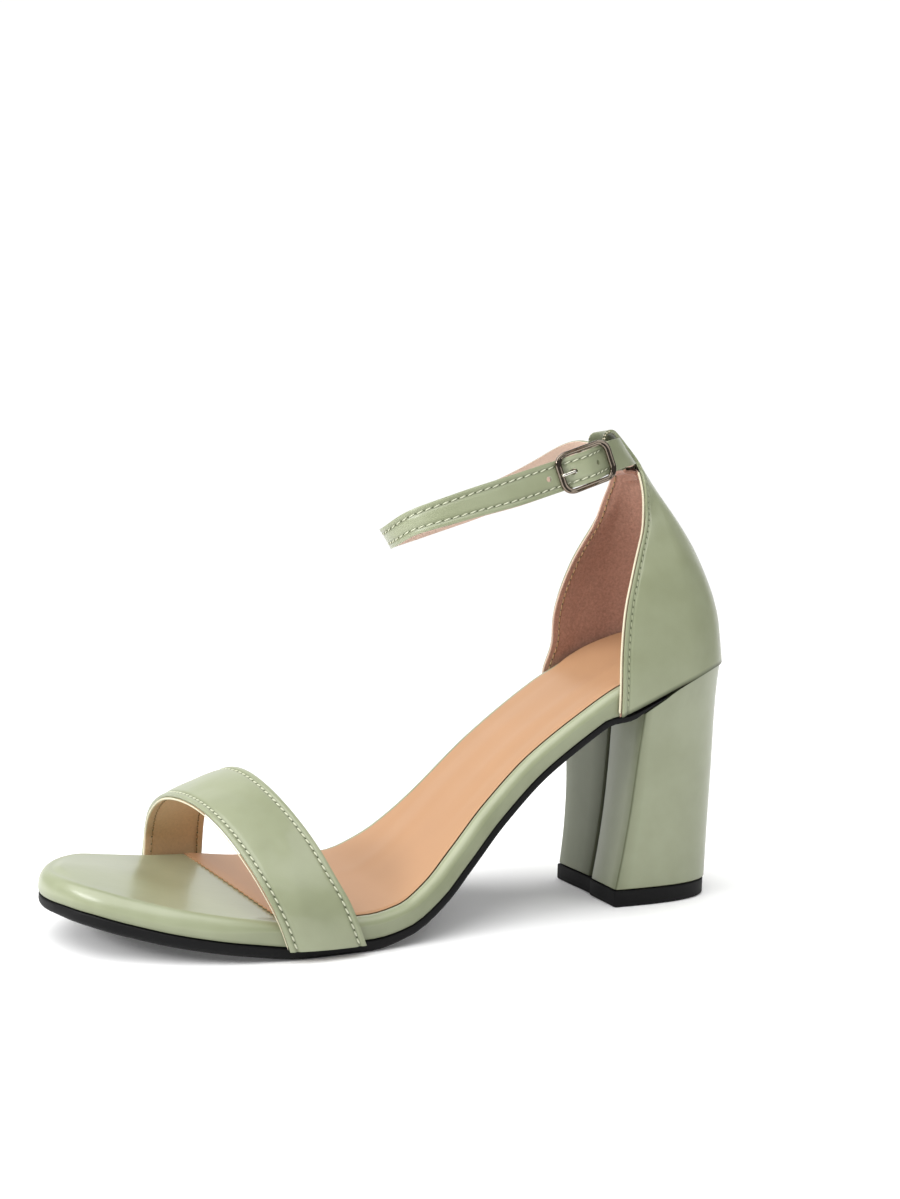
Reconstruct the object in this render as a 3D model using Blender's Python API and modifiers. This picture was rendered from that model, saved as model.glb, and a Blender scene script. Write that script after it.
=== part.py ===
"""Heeled sandal with an ankle strap, for a left foot, as the pieces that a shoemaker puts together.

The scene is in metres, with +X from toe to heel, +Y to the inner (big toe) side and +Z up. Sizes and tables
are in millimetres of the last: x from the tip of the toe, y from the last's long axis, z from the floor.
ORIGIN is the point of the last that becomes the scene's origin, on the floor under the middle of the shoe.
"""

import math
from collections import namedtuple

import bmesh
import bpy
from mathutils import Matrix, Vector

MM = 0.001
ORIGIN = Vector((113.3, 0.3, 0.0))

# Driving dimensions
SOLE_LENGTH = 222.5
BALL_WIDTH = 86.6
HEEL_HEIGHT = 80.0
SEAM_GAP = 0.3

# Sole
BOARD = 6.4
SEAT_BOARD = 9.0
RUBBER = 3.4
OUTSOLE_END = 186.0
FOREFOOT_BED = BOARD + SEAM_GAP + RUBBER
BOARD_RIM_RADIUS = 2.6
TOE_ROLL_ACROSS = 3.0
TOE_ROLL_DROP = 4.6
SEAT_RIM_RADIUS = 0.4
OUTSOLE_EDGE = 1.4
SOLE_STATIONS = 36
INSOLE_THICKNESS = 1.1
INSOLE_FRONT_THICKNESS = 0.5
INSOLE_RECESS = 0.9
INSOLE_HEEL_PAD = 1.4
INSOLE_INSET = 3.6
INSOLE_SEAT_INSET = 1.0
INSOLE_FRONT_LATERAL = 61.0
INSOLE_FRONT_MEDIAL = 49.5

# Upper
WALL = 1.8
UPPER_CLEARANCE = 0.5
UPPER_OUTSET = UPPER_CLEARANCE + WALL
COUNTER_FRONT = 173.4
COUNTER_MEDIAL_SETBACK = 2.4
VAMP_CROWN = 0.9

# Heel
TOP_PIECE_HEIGHT = 5.4
TOP_PIECE_EDGE = 0.6
TOP_PIECE_BACK_STEP = 1.2
HEEL_WRAP_STEP = 0.9
HEEL_SEAM_FOOT = 0.20
HEEL_SEAM_FLARE = 0.07

# Ankle strap and buckle
STRAP_WIDTH = 9.9
STRAP_THICKNESS = 1.4
STRAP_CORNER = 0.4
TAIL_TIP = 1.8
FRAME_LENGTH = 18.8
FRAME_WIDTH = 11.9
FRAME_CORNER = 3.4
FRAME_WIRE = 0.8
FRAME_STAND = FRAME_WIRE + 2 * SEAM_GAP + 1.5 * STRAP_THICKNESS
BAR_RADIUS = 0.7
BAR_DROP = 1.2
PRONG_RADIUS = 0.55
PRONG_HOLE_SHARE = 0.5
WIRE_PASS = 1.2
HOLE_PITCH = 8.6
HOLE_RADIUS = 0.9

SoleSection = namedtuple("SoleSection", "along lateral medial rise board rubber")
# along: share of the sole's length; lateral and medial: half widths as shares of the ball width;
# rise: footbed above the forefoot as a share of the heel height; board and rubber: thickness
SOLE = [
    SoleSection(0.000, 0.000, 0.000, 0.118, BOARD, RUBBER),
    SoleSection(0.022, 0.180, 0.172, 0.118, BOARD, RUBBER),
    SoleSection(0.054, 0.278, 0.268, 0.109, BOARD, RUBBER),
    SoleSection(0.099, 0.351, 0.334, 0.083, BOARD, RUBBER),
    SoleSection(0.162, 0.427, 0.406, 0.050, BOARD, RUBBER),
    SoleSection(0.234, 0.476, 0.487, 0.022, BOARD, RUBBER),
    SoleSection(0.306, 0.488, 0.512, 0.000, BOARD, RUBBER),
    SoleSection(0.387, 0.473, 0.471, 0.000, BOARD, RUBBER),
    SoleSection(0.432, 0.453, 0.434, 0.019, BOARD, 2.9),
    SoleSection(0.476, 0.418, 0.381, 0.086, BOARD, 2.5),
    SoleSection(0.521, 0.370, 0.326, 0.195, BOARD, 2.4),
    SoleSection(0.575, 0.330, 0.291, 0.346, BOARD, 2.4),
    SoleSection(0.647, 0.309, 0.296, 0.529, BOARD, 2.4),
    SoleSection(0.740, 0.313, 0.318, 0.716, BOARD, 2.4),
    SoleSection(0.777, 0.317, 0.322, 0.782, 8.8, 2.3),
    SoleSection(0.809, 0.319, 0.323, 0.826, SEAT_BOARD, 1.0),
    SoleSection(0.890, 0.305, 0.307, 0.926, SEAT_BOARD, 0.0),
    SoleSection(0.946, 0.249, 0.249, 0.979, SEAT_BOARD, 0.0),
    SoleSection(1.000, 0.000, 0.000, 1.006, SEAT_BOARD, 0.0),
]

CounterSection = namedtuple("CounterSection", "front_x front_z half back_x back_z flat")
# One level of the counter's outer face: its front edges, half width there and back; flat: 0 for the heel's
# own round, 1 for the shallow arc of the tab
COUNTER = [
    CounterSection(173.4, 82.0, 29.2, 223.6, 97.0, 0.0),
    CounterSection(174.0, 90.0, 28.4, 221.0, 104.5, 0.0),
    CounterSection(175.4, 98.5, 27.0, 217.4, 112.0, 0.0),
    CounterSection(178.0, 107.0, 25.0, 213.2, 119.5, 0.0),
    CounterSection(181.2, 115.0, 22.4, 208.6, 126.5, 0.1),
    CounterSection(184.6, 122.5, 19.6, 204.0, 132.3, 0.25),
    CounterSection(187.4, 129.5, 16.6, 200.0, 137.2, 0.5),
    CounterSection(189.0, 136.5, 13.8, 196.8, 141.4, 0.8),
    CounterSection(189.8, 142.8, 10.2, 193.9, 145.6, 1.0),
    CounterSection(189.0, 148.4, 7.2, 190.9, 149.2, 1.0),
    CounterSection(186.3, 152.5, 5.6, 187.6, 152.8, 1.0),
]
COUNTER_SIDE_POINTS = 12
TAB_FOLD_STEPS = 6
TAB_RISE = 6.2
TAB_FLAP = 17.2
TAB_HALF = 4.9
TUNNEL_DROP = 0.5
TUNNEL_MIDDLE = 0.58
TUNNEL_GAP = STRAP_THICKNESS + 2 * 0.7

VampSection = namedtuple("VampSection", "front_x front_y front_z rear_x rear_y rear_z")
# The band's front and rear edge, from the lateral side over the instep to the medial side
VAMP = [
    VampSection(56.6, -43.2, 16.0, 79.4, -42.4, 15.2),
    VampSection(53.3, -39.6, 22.8, 76.4, -39.0, 21.2),
    VampSection(50.0, -33.4, 28.8, 73.1, -33.4, 28.2),
    VampSection(47.0, -26.0, 33.4, 69.7, -26.0, 34.4),
    VampSection(44.2, -17.5, 36.6, 66.3, -17.5, 39.6),
    VampSection(41.6, -7.5, 38.3, 63.2, -7.5, 43.4),
    VampSection(39.0, 3.0, 38.5, 60.2, 3.0, 45.6),
    VampSection(37.0, 13.0, 37.0, 57.6, 13.5, 45.0),
    VampSection(36.0, 23.0, 33.2, 56.2, 24.0, 41.0),
    VampSection(35.9, 33.0, 27.0, 55.6, 34.5, 33.0),
    VampSection(36.3, 39.2, 20.0, 56.0, 42.6, 23.0),
]
VAMP_COLUMNS = 4
VampFoot = namedtuple("VampFoot", "front_x rear_x side depth")
# Sections where the band lies against the platform's side, by the stations of its edges
VAMP_LATERAL_FOOT = [
    VampFoot(62.6, 84.0, -1, BOARD + 0.6),
    VampFoot(60.2, 82.0, -1, 2.0),
]
VAMP_MEDIAL_FOOT = [
    VampFoot(36.8, 56.6, 1, 2.0),
    VampFoot(37.4, 57.2, 1, BOARD + 0.6),
]

HeelSection = namedtuple("HeelSection", "height breast_x lateral medial back_x square")
# height: share of the way from the top piece to the seat; lateral and medial: half widths at the breast;
# square: 2 for an oval back, more for fuller corners
HEEL = [
    HeelSection(0.00, 179.4, 20.0, 19.0, 223.2, 2.9),
    HeelSection(0.25, 181.4, 21.2, 20.4, 223.4, 2.8),
    HeelSection(0.50, 182.6, 22.8, 22.2, 223.6, 2.7),
    HeelSection(0.75, 183.0, 25.0, 24.6, 223.8, 2.5),
    HeelSection(0.90, 182.8, 27.2, 26.8, 224.3, 2.35),
    HeelSection(1.00, 182.4, 28.8, 28.4, 224.8, 2.3),
]
HEEL_BACK_POINTS = 17

LoopSection = namedtuple("LoopSection", "x y z tip_x tip_y width")
# The ankle strap's middle line, from the buckle back through the tunnel, along the medial side, across the
# front and back along the lateral side; tip: how far the top edge leans from upright, as a slope; width:
# the band narrows towards the front
LOOP_TO_TAB = [
    LoopSection(159.0, -21.5, 143.0, -0.38, 0.05, STRAP_WIDTH),
    LoopSection(171.0, -20.6, 147.7, -0.45, 0.05, STRAP_WIDTH),
    LoopSection(178.6, -16.0, 149.8, -0.75, 0.04, STRAP_WIDTH),
]
LOOP_FROM_TAB = [
    LoopSection(179.0, 15.0, 151.2, -0.75, -0.05, STRAP_WIDTH),
    LoopSection(170.0, 21.5, 145.8, -0.45, -0.05, STRAP_WIDTH),
    LoopSection(152.0, 24.5, 135.5, -0.40, 0.05, 10.0),
    LoopSection(132.0, 23.0, 127.4, -0.40, 0.10, 9.2),
    LoopSection(114.0, 15.0, 121.2, -0.42, 0.20, 8.0),
    LoopSection(106.0, 8.0, 118.9, -0.50, 0.30, 7.4),
    LoopSection(102.8, 1.0, 118.4, -0.55, 0.40, 7.2),
    LoopSection(102.2, -8.0, 120.0, -0.50, 0.50, 7.4),
    LoopSection(104.6, -14.5, 122.8, -0.42, 0.50, 7.8),
    LoopSection(112.0, -20.0, 126.2, -0.40, 0.45, 8.6),
    LoopSection(122.0, -22.4, 129.9, -0.38, 0.35, 9.2),
    LoopSection(134.0, -23.2, 133.9, -0.36, 0.25, 9.8),
    LoopSection(147.0, -22.4, 138.5, -0.37, 0.10, STRAP_WIDTH),
]
LOOP_STATIONS = 84

FINISHES = {
    "sage_green": ((0.345, 0.381, 0.226), 0.38, 0.0),
    "black_rubber": ((0.012, 0.012, 0.013), 0.62, 0.0),
    "tan_sock": ((0.62, 0.36, 0.20), 0.55, 0.0),
    "gunmetal": ((0.16, 0.15, 0.14), 0.28, 1.0),
}


def smooth_through(xs, ys):
    """Return a function that runs smoothly through the points and doesn't overshoot them."""
    spans = [b - a for a, b in zip(xs, xs[1:])]
    rates = [(d - c) / span for c, d, span in zip(ys, ys[1:], spans)]
    slopes = [rates[0]]
    for before, after in zip(rates, rates[1:]):
        slopes.append(0.0 if before * after <= 0.0 else 2.0 * before * after / (before + after))
    slopes.append(rates[-1])

    def at(x):
        i = 0
        while i < len(spans) - 1 and x > xs[i + 1]:
            i += 1
        span = spans[i]
        t = (x - xs[i]) / span
        rise = ys[i + 1] - ys[i]
        bend = t * (1.0 - t) * ((1.0 - t) * (slopes[i] * span - rise) - t * (slopes[i + 1] * span - rise))
        return ys[i] + t * rise + bend

    return at


def column(rows, name):
    return [getattr(row, name) for row in rows]


SOLE_X = [row.along * SOLE_LENGTH for row in SOLE]
footbed = smooth_through(SOLE_X, [FOREFOOT_BED + row.rise * HEEL_HEIGHT for row in SOLE])
board_thickness = smooth_through(SOLE_X, column(SOLE, "board"))
rubber_thickness = smooth_through(SOLE_X, column(SOLE, "rubber"))
# Squared half widths run straight into the tip and the back, which makes both ends round
lateral_square = smooth_through(SOLE_X, [(row.lateral * BALL_WIDTH) ** 2 for row in SOLE])
medial_square = smooth_through(SOLE_X, [(row.medial * BALL_WIDTH) ** 2 for row in SOLE])


def half_width(x, side):
    """Distance from the axis to the sole's edge: side is -1 for lateral and 1 for medial."""
    square = medial_square(x) if side > 0 else lateral_square(x)
    return math.sqrt(max(square, 0.0))


def sole_place(x, y, depth):
    """Point below the footbed at (x, y), the depth measured square to it."""
    slope = math.atan(footbed(x + 0.5) - footbed(x - 0.5))
    return Vector((x + depth * math.sin(slope), y, footbed(x) - depth * math.cos(slope)))


def sole_edge(x, side, outset):
    """Plan point on one side of the sole's edge, moved out square to it."""
    step = 0.25
    inner = min(max(x, step), SOLE_LENGTH - step)
    spread = (half_width(inner + step, side) - half_width(inner - step, side)) / (2.0 * step)
    outward = Vector((-spread, side)).normalized()
    if x <= 0.0 or x >= SOLE_LENGTH:
        outward = Vector((-1.0 if x <= 0.0 else 1.0, 0.0))
    return Vector((x, side * half_width(x, side))) + outward * outset


def round_stations(end):
    """Stations from the toe tip to an end, closer together at the tip and, on a whole sole, at the back."""
    count = SOLE_STATIONS
    xs = [SOLE_LENGTH * (1.0 - math.cos(math.pi * i / count)) / 2.0 for i in range(count + 1)]
    return xs if end >= SOLE_LENGTH else [x for x in xs if x < end - 2.0] + [end]


def smooth_step(x, start, end):
    t = min(max((x - start) / (end - start), 0.0), 1.0)
    return t * t * (3.0 - 2.0 * t)


def mix(a, b, t):
    return a + (b - a) * t


def material(name):
    if name in bpy.data.materials:
        return bpy.data.materials[name]
    colour, roughness, metallic = FINISHES[name]
    made = bpy.data.materials.new(name)
    made.use_nodes = True
    shader = made.node_tree.nodes["Principled BSDF"]
    shader.inputs["Base Color"].default_value = (*colour, 1.0)
    shader.inputs["Roughness"].default_value = roughness
    shader.inputs["Metallic"].default_value = metallic
    return made


def collection(name):
    made = bpy.data.collections.new(name)
    bpy.context.scene.collection.children.link(made)
    return made


def add_piece(name, mesh, finish):
    """Named object of the sandal with its own finish."""
    piece = bpy.data.objects.new(name, mesh)
    mesh.materials.append(material(finish))
    bpy.data.collections["heeled_sandal"].objects.link(piece)
    return piece


def add_cutter(name, mesh, matrix):
    cutter = bpy.data.objects.new(name, mesh)
    cutter.matrix_world = matrix
    cutter.hide_render = True
    cutter.display_type = "WIRE"
    bpy.data.collections["cutters"].objects.link(cutter)
    return cutter


def combine(piece, other, operation):
    boolean = piece.modifiers.new(other.name, "BOOLEAN")
    boolean.operation = operation
    boolean.object = other


def mesh_of(name, points, faces, closed):
    """Mesh from points in the last's millimetres, moved to the scene's metres."""
    bm = bmesh.new()
    verts = [bm.verts.new((point - ORIGIN) * MM) for point in points]
    for face in faces:
        bm.faces.new([verts[i] for i in face])
    if closed:
        bmesh.ops.recalc_face_normals(bm, faces=bm.faces)
    mesh = bpy.data.meshes.new(name)
    bm.to_mesh(mesh)
    bm.free()
    mesh.shade_smooth()
    mesh.set_sharp_from_angle(angle=math.radians(40.0))
    return mesh


def loft(name, rings, rung_shift=None):
    """Skin closed rings of equal count. Each end is one face, or rungs from side to side of the ring.

    rung_shift is 0 for a ring that starts on a tip and 1 for one that starts beside its partner.
    """
    count = len(rings[0])
    last = count * (len(rings) - 1)
    faces = []
    for start in range(0, last, count):
        for i in range(count):
            j = (i + 1) % count
            faces.append((start + i, start + j, start + count + j, start + count + i))
    for start in (0, last):
        if rung_shift is None:
            faces.append(range(start, start + count))
            continue
        for i in range((count - rung_shift) // 2):
            partner = count - rung_shift - i
            corners = dict.fromkeys((i, i + 1, partner - 1, partner % count))
            faces.append([start + corner for corner in corners])
    return mesh_of(name, [point for ring in rings for point in ring], faces, closed=True)


def sheet(name, rows):
    """Open surface through rows of points, its outer face to the left of each row's run."""
    count = len(rows[0])
    faces = []
    for start in range(0, count * (len(rows) - 1), count):
        for i in range(count - 1):
            faces.append((start + i, start + i + 1, start + count + i + 1, start + count + i))
    return mesh_of(name, [point for row in rows for point in row], faces, closed=False)


def thicken(piece):
    """Give an open surface the upper's wall, inwards from its outer face."""
    wall = piece.modifiers.new("Wall", "SOLIDIFY")
    wall.thickness = WALL * MM
    wall.offset = -1.0
    wall.use_even_offset = True


def layer_rings(profile, outset, end):
    """Rings of a sole layer from its profile, rows of inset and depth along the sole, bottom edge first."""
    xs = round_stations(end)
    whole = end >= SOLE_LENGTH
    rings = []
    for inset, depth in profile:
        lateral = [sole_edge(x, -1, outset(x) - inset(x)) for x in xs]
        medial = [sole_edge(x, 1, outset(x) - inset(x)) for x in (xs[1:-1] if whole else xs[1:])]
        rings.append([sole_place(p.x, p.y, depth(p.x)) for p in lateral + medial[::-1]])
    return rings


def insole_recess(x):
    """Depth of the bed that the sock lies in: none at its front edge, then flush with the rim."""
    return INSOLE_RECESS * smooth_step(x, INSOLE_FRONT_MEDIAL, INSOLE_FRONT_LATERAL + 20.0)


def insole_top(x):
    """Height of the sock over the footbed: pared thin at its front edge, padded in the heel seat."""
    share = smooth_step(x, INSOLE_FRONT_MEDIAL, INSOLE_FRONT_LATERAL + 20.0)
    pad = INSOLE_HEEL_PAD * smooth_step(x, COUNTER_FRONT + 2.0, COUNTER_FRONT + 20.0)
    return SEAM_GAP - insole_recess(x) + mix(INSOLE_FRONT_THICKNESS, INSOLE_THICKNESS, share) + pad


def in_counter(x):
    """0 on the open footbed, 1 where the counter's wall covers its edge."""
    return smooth_step(x, COUNTER_FRONT + 1.0, COUNTER_FRONT + 12.0)


def rim_radius(x):
    """Round of the board's upper edge, square where the counter covers it."""
    return mix(BOARD_RIM_RADIUS, SEAT_RIM_RADIUS, in_counter(x))


def in_toe(x):
    """1 where the wrap rolls over the toe's edge, 0 from the vamp band on."""
    return 1.0 - smooth_step(x, 38.0, 62.0)


def rim_across(x):
    return mix(rim_radius(x), TOE_ROLL_ACROSS, in_toe(x))


def rim_drop(x):
    return mix(rim_radius(x), TOE_ROLL_DROP, in_toe(x))


def bed_inset(x):
    """Edge of the bed for the sock, always inside the rim."""
    return max(insole_inset(x) - SEAM_GAP, rim_across(x) + 0.4)


def insole_inset(x):
    """The sock leaves the rim free, and fills the counter to its wall."""
    return mix(INSOLE_INSET, INSOLE_SEAT_INSET, in_counter(x))


def make_platform():
    """Wrapped footbed board: square below, rounded along its upper edge."""
    profile = [
        (lambda x: 1.0, board_thickness),
        (lambda x: 0.2, lambda x: board_thickness(x) - 0.3),
        (lambda x: 0.0, lambda x: board_thickness(x) - 1.0),
    ]
    for step in range(5):
        angle = math.radians(90.0 * step / 4)
        across = 1.0 - math.cos(angle)
        down = 1.0 - math.sin(angle)
        profile.append((lambda x, a=across: a * rim_across(x), lambda x, d=down: d * rim_drop(x)))
    profile.append((bed_inset, insole_recess))
    rings = layer_rings(profile, lambda x: 0.0, SOLE_LENGTH)
    add_piece("platform", loft("platform", rings, rung_shift=0), "sage_green")


def outsole_outset(x):
    """The rubber's edge: just inside the board, and further out under the wall of the counter."""
    return mix(-0.2, UPPER_OUTSET - SEAM_GAP, smooth_step(x, COUNTER_FRONT - 6.0, COUNTER_FRONT + 2.0))


def outsole_top(x):
    return board_thickness(x) + SEAM_GAP


def outsole_bottom(x):
    return outsole_top(x) + rubber_thickness(x)


def make_outsole():
    profile = [
        (lambda x: OUTSOLE_EDGE, outsole_bottom),
        (lambda x: 0.35 * OUTSOLE_EDGE, lambda x: outsole_bottom(x) - 0.15 * rubber_thickness(x)),
        (lambda x: 0.0, lambda x: outsole_bottom(x) - 0.45 * rubber_thickness(x)),
        (lambda x: 0.0, outsole_top),
    ]
    rings = layer_rings(profile, outsole_outset, OUTSOLE_END)
    add_piece("outsole", loft("outsole", rings, rung_shift=0), "black_rubber")


def make_insole():
    """Sock on the footbed; its front is cut across, further forward on the medial side."""
    xs = [x for x in round_stations(SOLE_LENGTH) if x > INSOLE_FRONT_LATERAL + 3.0]
    profile = [
        (0.0, lambda x: SEAM_GAP - insole_recess(x)),
        (0.0, lambda x: insole_top(x) - 0.2),
        (0.4, insole_top),
    ]
    rings = []
    for inset, height in profile:
        plan = [sole_edge(x, -1, -insole_inset(x) - inset) for x in [INSOLE_FRONT_LATERAL + inset] + xs]
        medial = [sole_edge(x, 1, -insole_inset(x) - inset) for x in [INSOLE_FRONT_MEDIAL + inset] + xs[:-1]]
        rings.append([sole_place(p.x, p.y, -height(p.x)) for p in plan + medial[::-1]])
    add_piece("insole", loft("insole", rings, rung_shift=1), "tan_sock")


def heel_plan(section):
    """Plan of the heel at one height: round back and sides, then the breast with the step of its wrap."""
    ring = []
    for i in range(HEEL_BACK_POINTS):
        angle = math.radians(-90.0 + 180.0 * i / (HEEL_BACK_POINTS - 1))
        half = section.medial if angle > 0 else section.lateral
        forward = abs(math.cos(angle)) ** (2.0 / section.square)
        aside = math.copysign(abs(math.sin(angle)) ** (2.0 / section.square), angle)
        ring.append(Vector((mix(section.breast_x, section.back_x, forward), half * aside)))
    seam = -section.lateral * (HEEL_SEAM_FOOT + HEEL_SEAM_FLARE * section.height)
    ring.append(Vector((section.breast_x + 0.3 * HEEL_WRAP_STEP, 0.5 * section.medial)))
    ring.append(Vector((section.breast_x + HEEL_WRAP_STEP, seam + 0.4)))
    ring.append(Vector((section.breast_x, seam)))
    return ring


def heel_seat(x):
    """Depth of the heel's top below the footbed, under the end of the outsole."""
    return outsole_bottom(x) + SEAM_GAP * (1.0 - smooth_step(x, OUTSOLE_END, OUTSOLE_END + 4.0))


def seat_height(x):
    """Height of the heel's top at x: the station whose square depth ends there is found in a few steps."""
    station = x
    for step in range(6):
        station += x - sole_place(station, 0.0, heel_seat(station)).x
    return sole_place(station, 0.0, heel_seat(station)).z


def make_heel_block():
    foot = TOP_PIECE_HEIGHT + SEAM_GAP
    rings = []
    for section in HEEL:
        ring = []
        for p in heel_plan(section):
            ring.append(Vector((p.x, p.y, mix(foot, seat_height(p.x), section.height))))
        rings.append(ring)
    add_piece("heel_block", loft("heel_block", rings), "sage_green")


def make_top_piece():
    plan = heel_plan(HEEL[0]._replace(back_x=HEEL[0].back_x - TOP_PIECE_BACK_STEP))
    middle = sum(plan, Vector((0.0, 0.0))) / len(plan)
    rings = []
    for inset, z in ((0.5, 0.0), (0.0, 0.5), (0.0, TOP_PIECE_HEIGHT)):
        grown = [p + (p - middle).normalized() * (TOP_PIECE_EDGE - inset) for p in plan]
        rings.append([Vector((p.x, p.y, z)) for p in grown])
    add_piece("heel_top_piece", loft("heel_top_piece", rings), "black_rubber")


def vamp_foot(foot):
    """Section of the vamp band from the stations of its edges on the platform's side."""
    front = sole_edge(foot.front_x, foot.side, UPPER_OUTSET)
    rear = sole_edge(foot.rear_x, foot.side, UPPER_OUTSET)
    return VampSection(*sole_place(front.x, front.y, foot.depth), *sole_place(rear.x, rear.y, foot.depth))


def make_vamp_strap():
    sections = [vamp_foot(foot) for foot in VAMP_LATERAL_FOOT] + VAMP
    sections += [vamp_foot(foot) for foot in VAMP_MEDIAL_FOOT]
    turns = list(range(len(sections)))
    edges = {name: smooth_through(turns, column(sections, name)) for name in VampSection._fields}
    edge_pairs = []
    for i in range(2 * len(sections) - 1):
        place = VampSection(*(edges[name](i / 2) for name in VampSection._fields))
        front = Vector((place.front_x, place.front_y, place.front_z))
        rear = Vector((place.rear_x, place.rear_y, place.rear_z))
        edge_pairs.append((front, rear))
    rows = []
    for i, (front, rear) in enumerate(edge_pairs):
        before = edge_pairs[max(i - 1, 0)]
        after = edge_pairs[min(i + 1, len(edge_pairs) - 1)]
        run = after[0] + after[1] - before[0] - before[1]
        out = (rear - front).cross(run).normalized()
        shares = [k / VAMP_COLUMNS for k in range(VAMP_COLUMNS + 1)]
        rows.append([front.lerp(rear, t) + out * (4.0 * t * (1.0 - t) * VAMP_CROWN) for t in shares])
    vamp = add_piece("vamp_strap", sheet("vamp_strap", rows), "sage_green")
    thicken(vamp)


def counter_base():
    """The counter's section at the footbed, from the lateral front edge round the back to the medial one."""
    shares = [math.sin(0.5 * math.pi * i / COUNTER_SIDE_POINTS) for i in range(COUNTER_SIDE_POINTS + 1)]
    medial_front = COUNTER_FRONT + COUNTER_MEDIAL_SETBACK
    lateral = [sole_edge(mix(COUNTER_FRONT, SOLE_LENGTH, t), -1, UPPER_OUTSET) for t in shares]
    medial = [sole_edge(mix(medial_front, SOLE_LENGTH, t), 1, UPPER_OUTSET) for t in shares[:-1]]
    return lateral + medial[::-1]


def tab_directions():
    """Upward lean of the tab and the direction to its inner side, in the side view."""
    below, edge = COUNTER[-2:]
    lean = Vector((edge.back_x - below.back_x, edge.back_z - below.back_z)).normalized()
    return lean, Vector((-lean.y, lean.x))


def tunnel_rows():
    """The strap's middle line where it passes between the tab and its flap."""
    lean, inward = tab_directions()
    edge = COUNTER[-1]
    inside = WALL + TUNNEL_MIDDLE * TUNNEL_GAP
    middle = Vector((edge.back_x, edge.back_z)) - lean * TUNNEL_DROP + inward * inside
    rows = []
    for y in (-edge.half, 0.0, edge.half):
        forward = (edge.back_x - edge.front_x) * (y / edge.half) ** 2
        rows.append(LoopSection(middle.x - forward, y, middle.y, lean.x / lean.y, 0.0, STRAP_WIDTH))
    return rows


def tab_fold():
    """Levels of the tab where it turns over the strap and hangs down inside as a flap."""
    lean, inward = tab_directions()
    edge = COUNTER[-1]
    radius = WALL + TUNNEL_GAP / 2
    centre = Vector((edge.back_x, edge.back_z)) + lean * TAB_RISE + inward * radius
    path = []
    for step in range(TAB_FOLD_STEPS + 1):
        turn = math.pi * step / TAB_FOLD_STEPS
        path.append(centre - inward * (radius * math.cos(turn)) + lean * (radius * math.sin(turn)))
    flap_top = path[-1]
    path += [flap_top - lean * (TAB_FLAP * share) for share in (0.3, 0.6, 0.83)]
    path.append(flap_top - lean * TAB_FLAP - inward * (TUNNEL_GAP - SEAM_GAP))
    depth = edge.back_x - edge.front_x
    return [CounterSection(p.x - depth, p.y - 0.3, TAB_HALF, p.x, p.y, 1.0) for p in path]


def make_counter():
    base = counter_base()
    front = base[0].x
    back = base[COUNTER_SIDE_POINTS].x
    shares = [(p.x - front) / (back - front) for p in base]
    rows = []
    for whole in (1.0, 0.0):
        row = []
        for p, share in zip(base, shares):
            depth = whole * board_thickness(p.x)
            square = sole_place(p.x, p.y, depth)
            upright = Vector((p.x, p.y, footbed(p.x) - depth))
            row.append(upright.lerp(square, share))
        rows.append(row)
    for level, section in enumerate(COUNTER + tab_fold()):
        bed_follow = max(0.0, 1.0 - level / 4)
        row = []
        for i, (p, share) in enumerate(zip(base, shares)):
            arc = 2.0 * i / (len(base) - 1) - 1.0
            round_y = p.y / (-base[0].y if p.y < 0 else base[-1].y)
            forward = mix(share, 1.0 - arc * arc, section.flat)
            sag = footbed(p.x) - mix(footbed(front), footbed(SOLE_LENGTH), share)
            setback = COUNTER_MEDIAL_SETBACK * bed_follow if arc > 0 else 0.0
            x = mix(section.front_x + setback, section.back_x, forward)
            y = section.half * mix(round_y, arc, section.flat)
            z = mix(section.front_z, section.back_z, forward) + sag * bed_follow
            row.append(Vector((x, y, z)))
        rows.append(row)
    counter = add_piece("heel_counter", sheet("heel_counter", rows), "sage_green")
    thicken(counter)


class Loop:
    """Closed middle line of the ankle strap, by the distance from the buckle."""

    def __init__(self, rows):
        ends = [Vector(row[:3]) for row in rows]
        spans = [(b - a).length for a, b in zip(ends, ends[1:] + ends[:1])]
        self.length = sum(spans)
        marks = [sum(spans[:i]) for i in range(len(rows))]
        wrapped = [mark - self.length for mark in marks] + marks + [mark + self.length for mark in marks]
        self.columns = [smooth_through(wrapped, column(rows * 3, name)) for name in LoopSection._fields]

    def frame(self, distance):
        """Place, run, upward edge and outward face of the strap."""
        d = distance % self.length
        x, y, z, tip_x, tip_y = (at(d) for at in self.columns[:5])
        ahead = Vector([at(d + 0.5) for at in self.columns[:3]])
        behind = Vector([at(d - 0.5) for at in self.columns[:3]])
        run = (ahead - behind).normalized()
        up = Vector((tip_x, tip_y, 1.0))
        up = (up - run * up.dot(run)).normalized()
        return Vector((x, y, z)), run, up, run.cross(up)

    def width(self, distance):
        return self.columns[5](distance % self.length)


def strap_lift(length):
    """How far the strap stands off its loop: the tail climbs through the frame and over the bar."""
    under = STRAP_THICKNESS + SEAM_GAP
    bar_top = FRAME_STAND - BAR_DROP + BAR_RADIUS + 2 * SEAM_GAP + 1.5 * STRAP_THICKNESS
    half = FRAME_LENGTH / 2
    foot, tip = prong_ends()
    prong_lift = FRAME_STAND + foot.lerp(tip, PRONG_HOLE_SHARE * half / -tip.x).z
    rows = [
        (0.0, 0.5),
        (half, 0.0),
        (length - 3.0 * half, 0.0),
        (length - half + WIRE_PASS, under),
        (length - PRONG_HOLE_SHARE * half, prong_lift),
        (length, bar_top),
        (length + half - WIRE_PASS, under),
        (length + half + TAIL_TIP, under),
    ]
    return smooth_through([row[0] for row in rows], [row[1] for row in rows])


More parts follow.
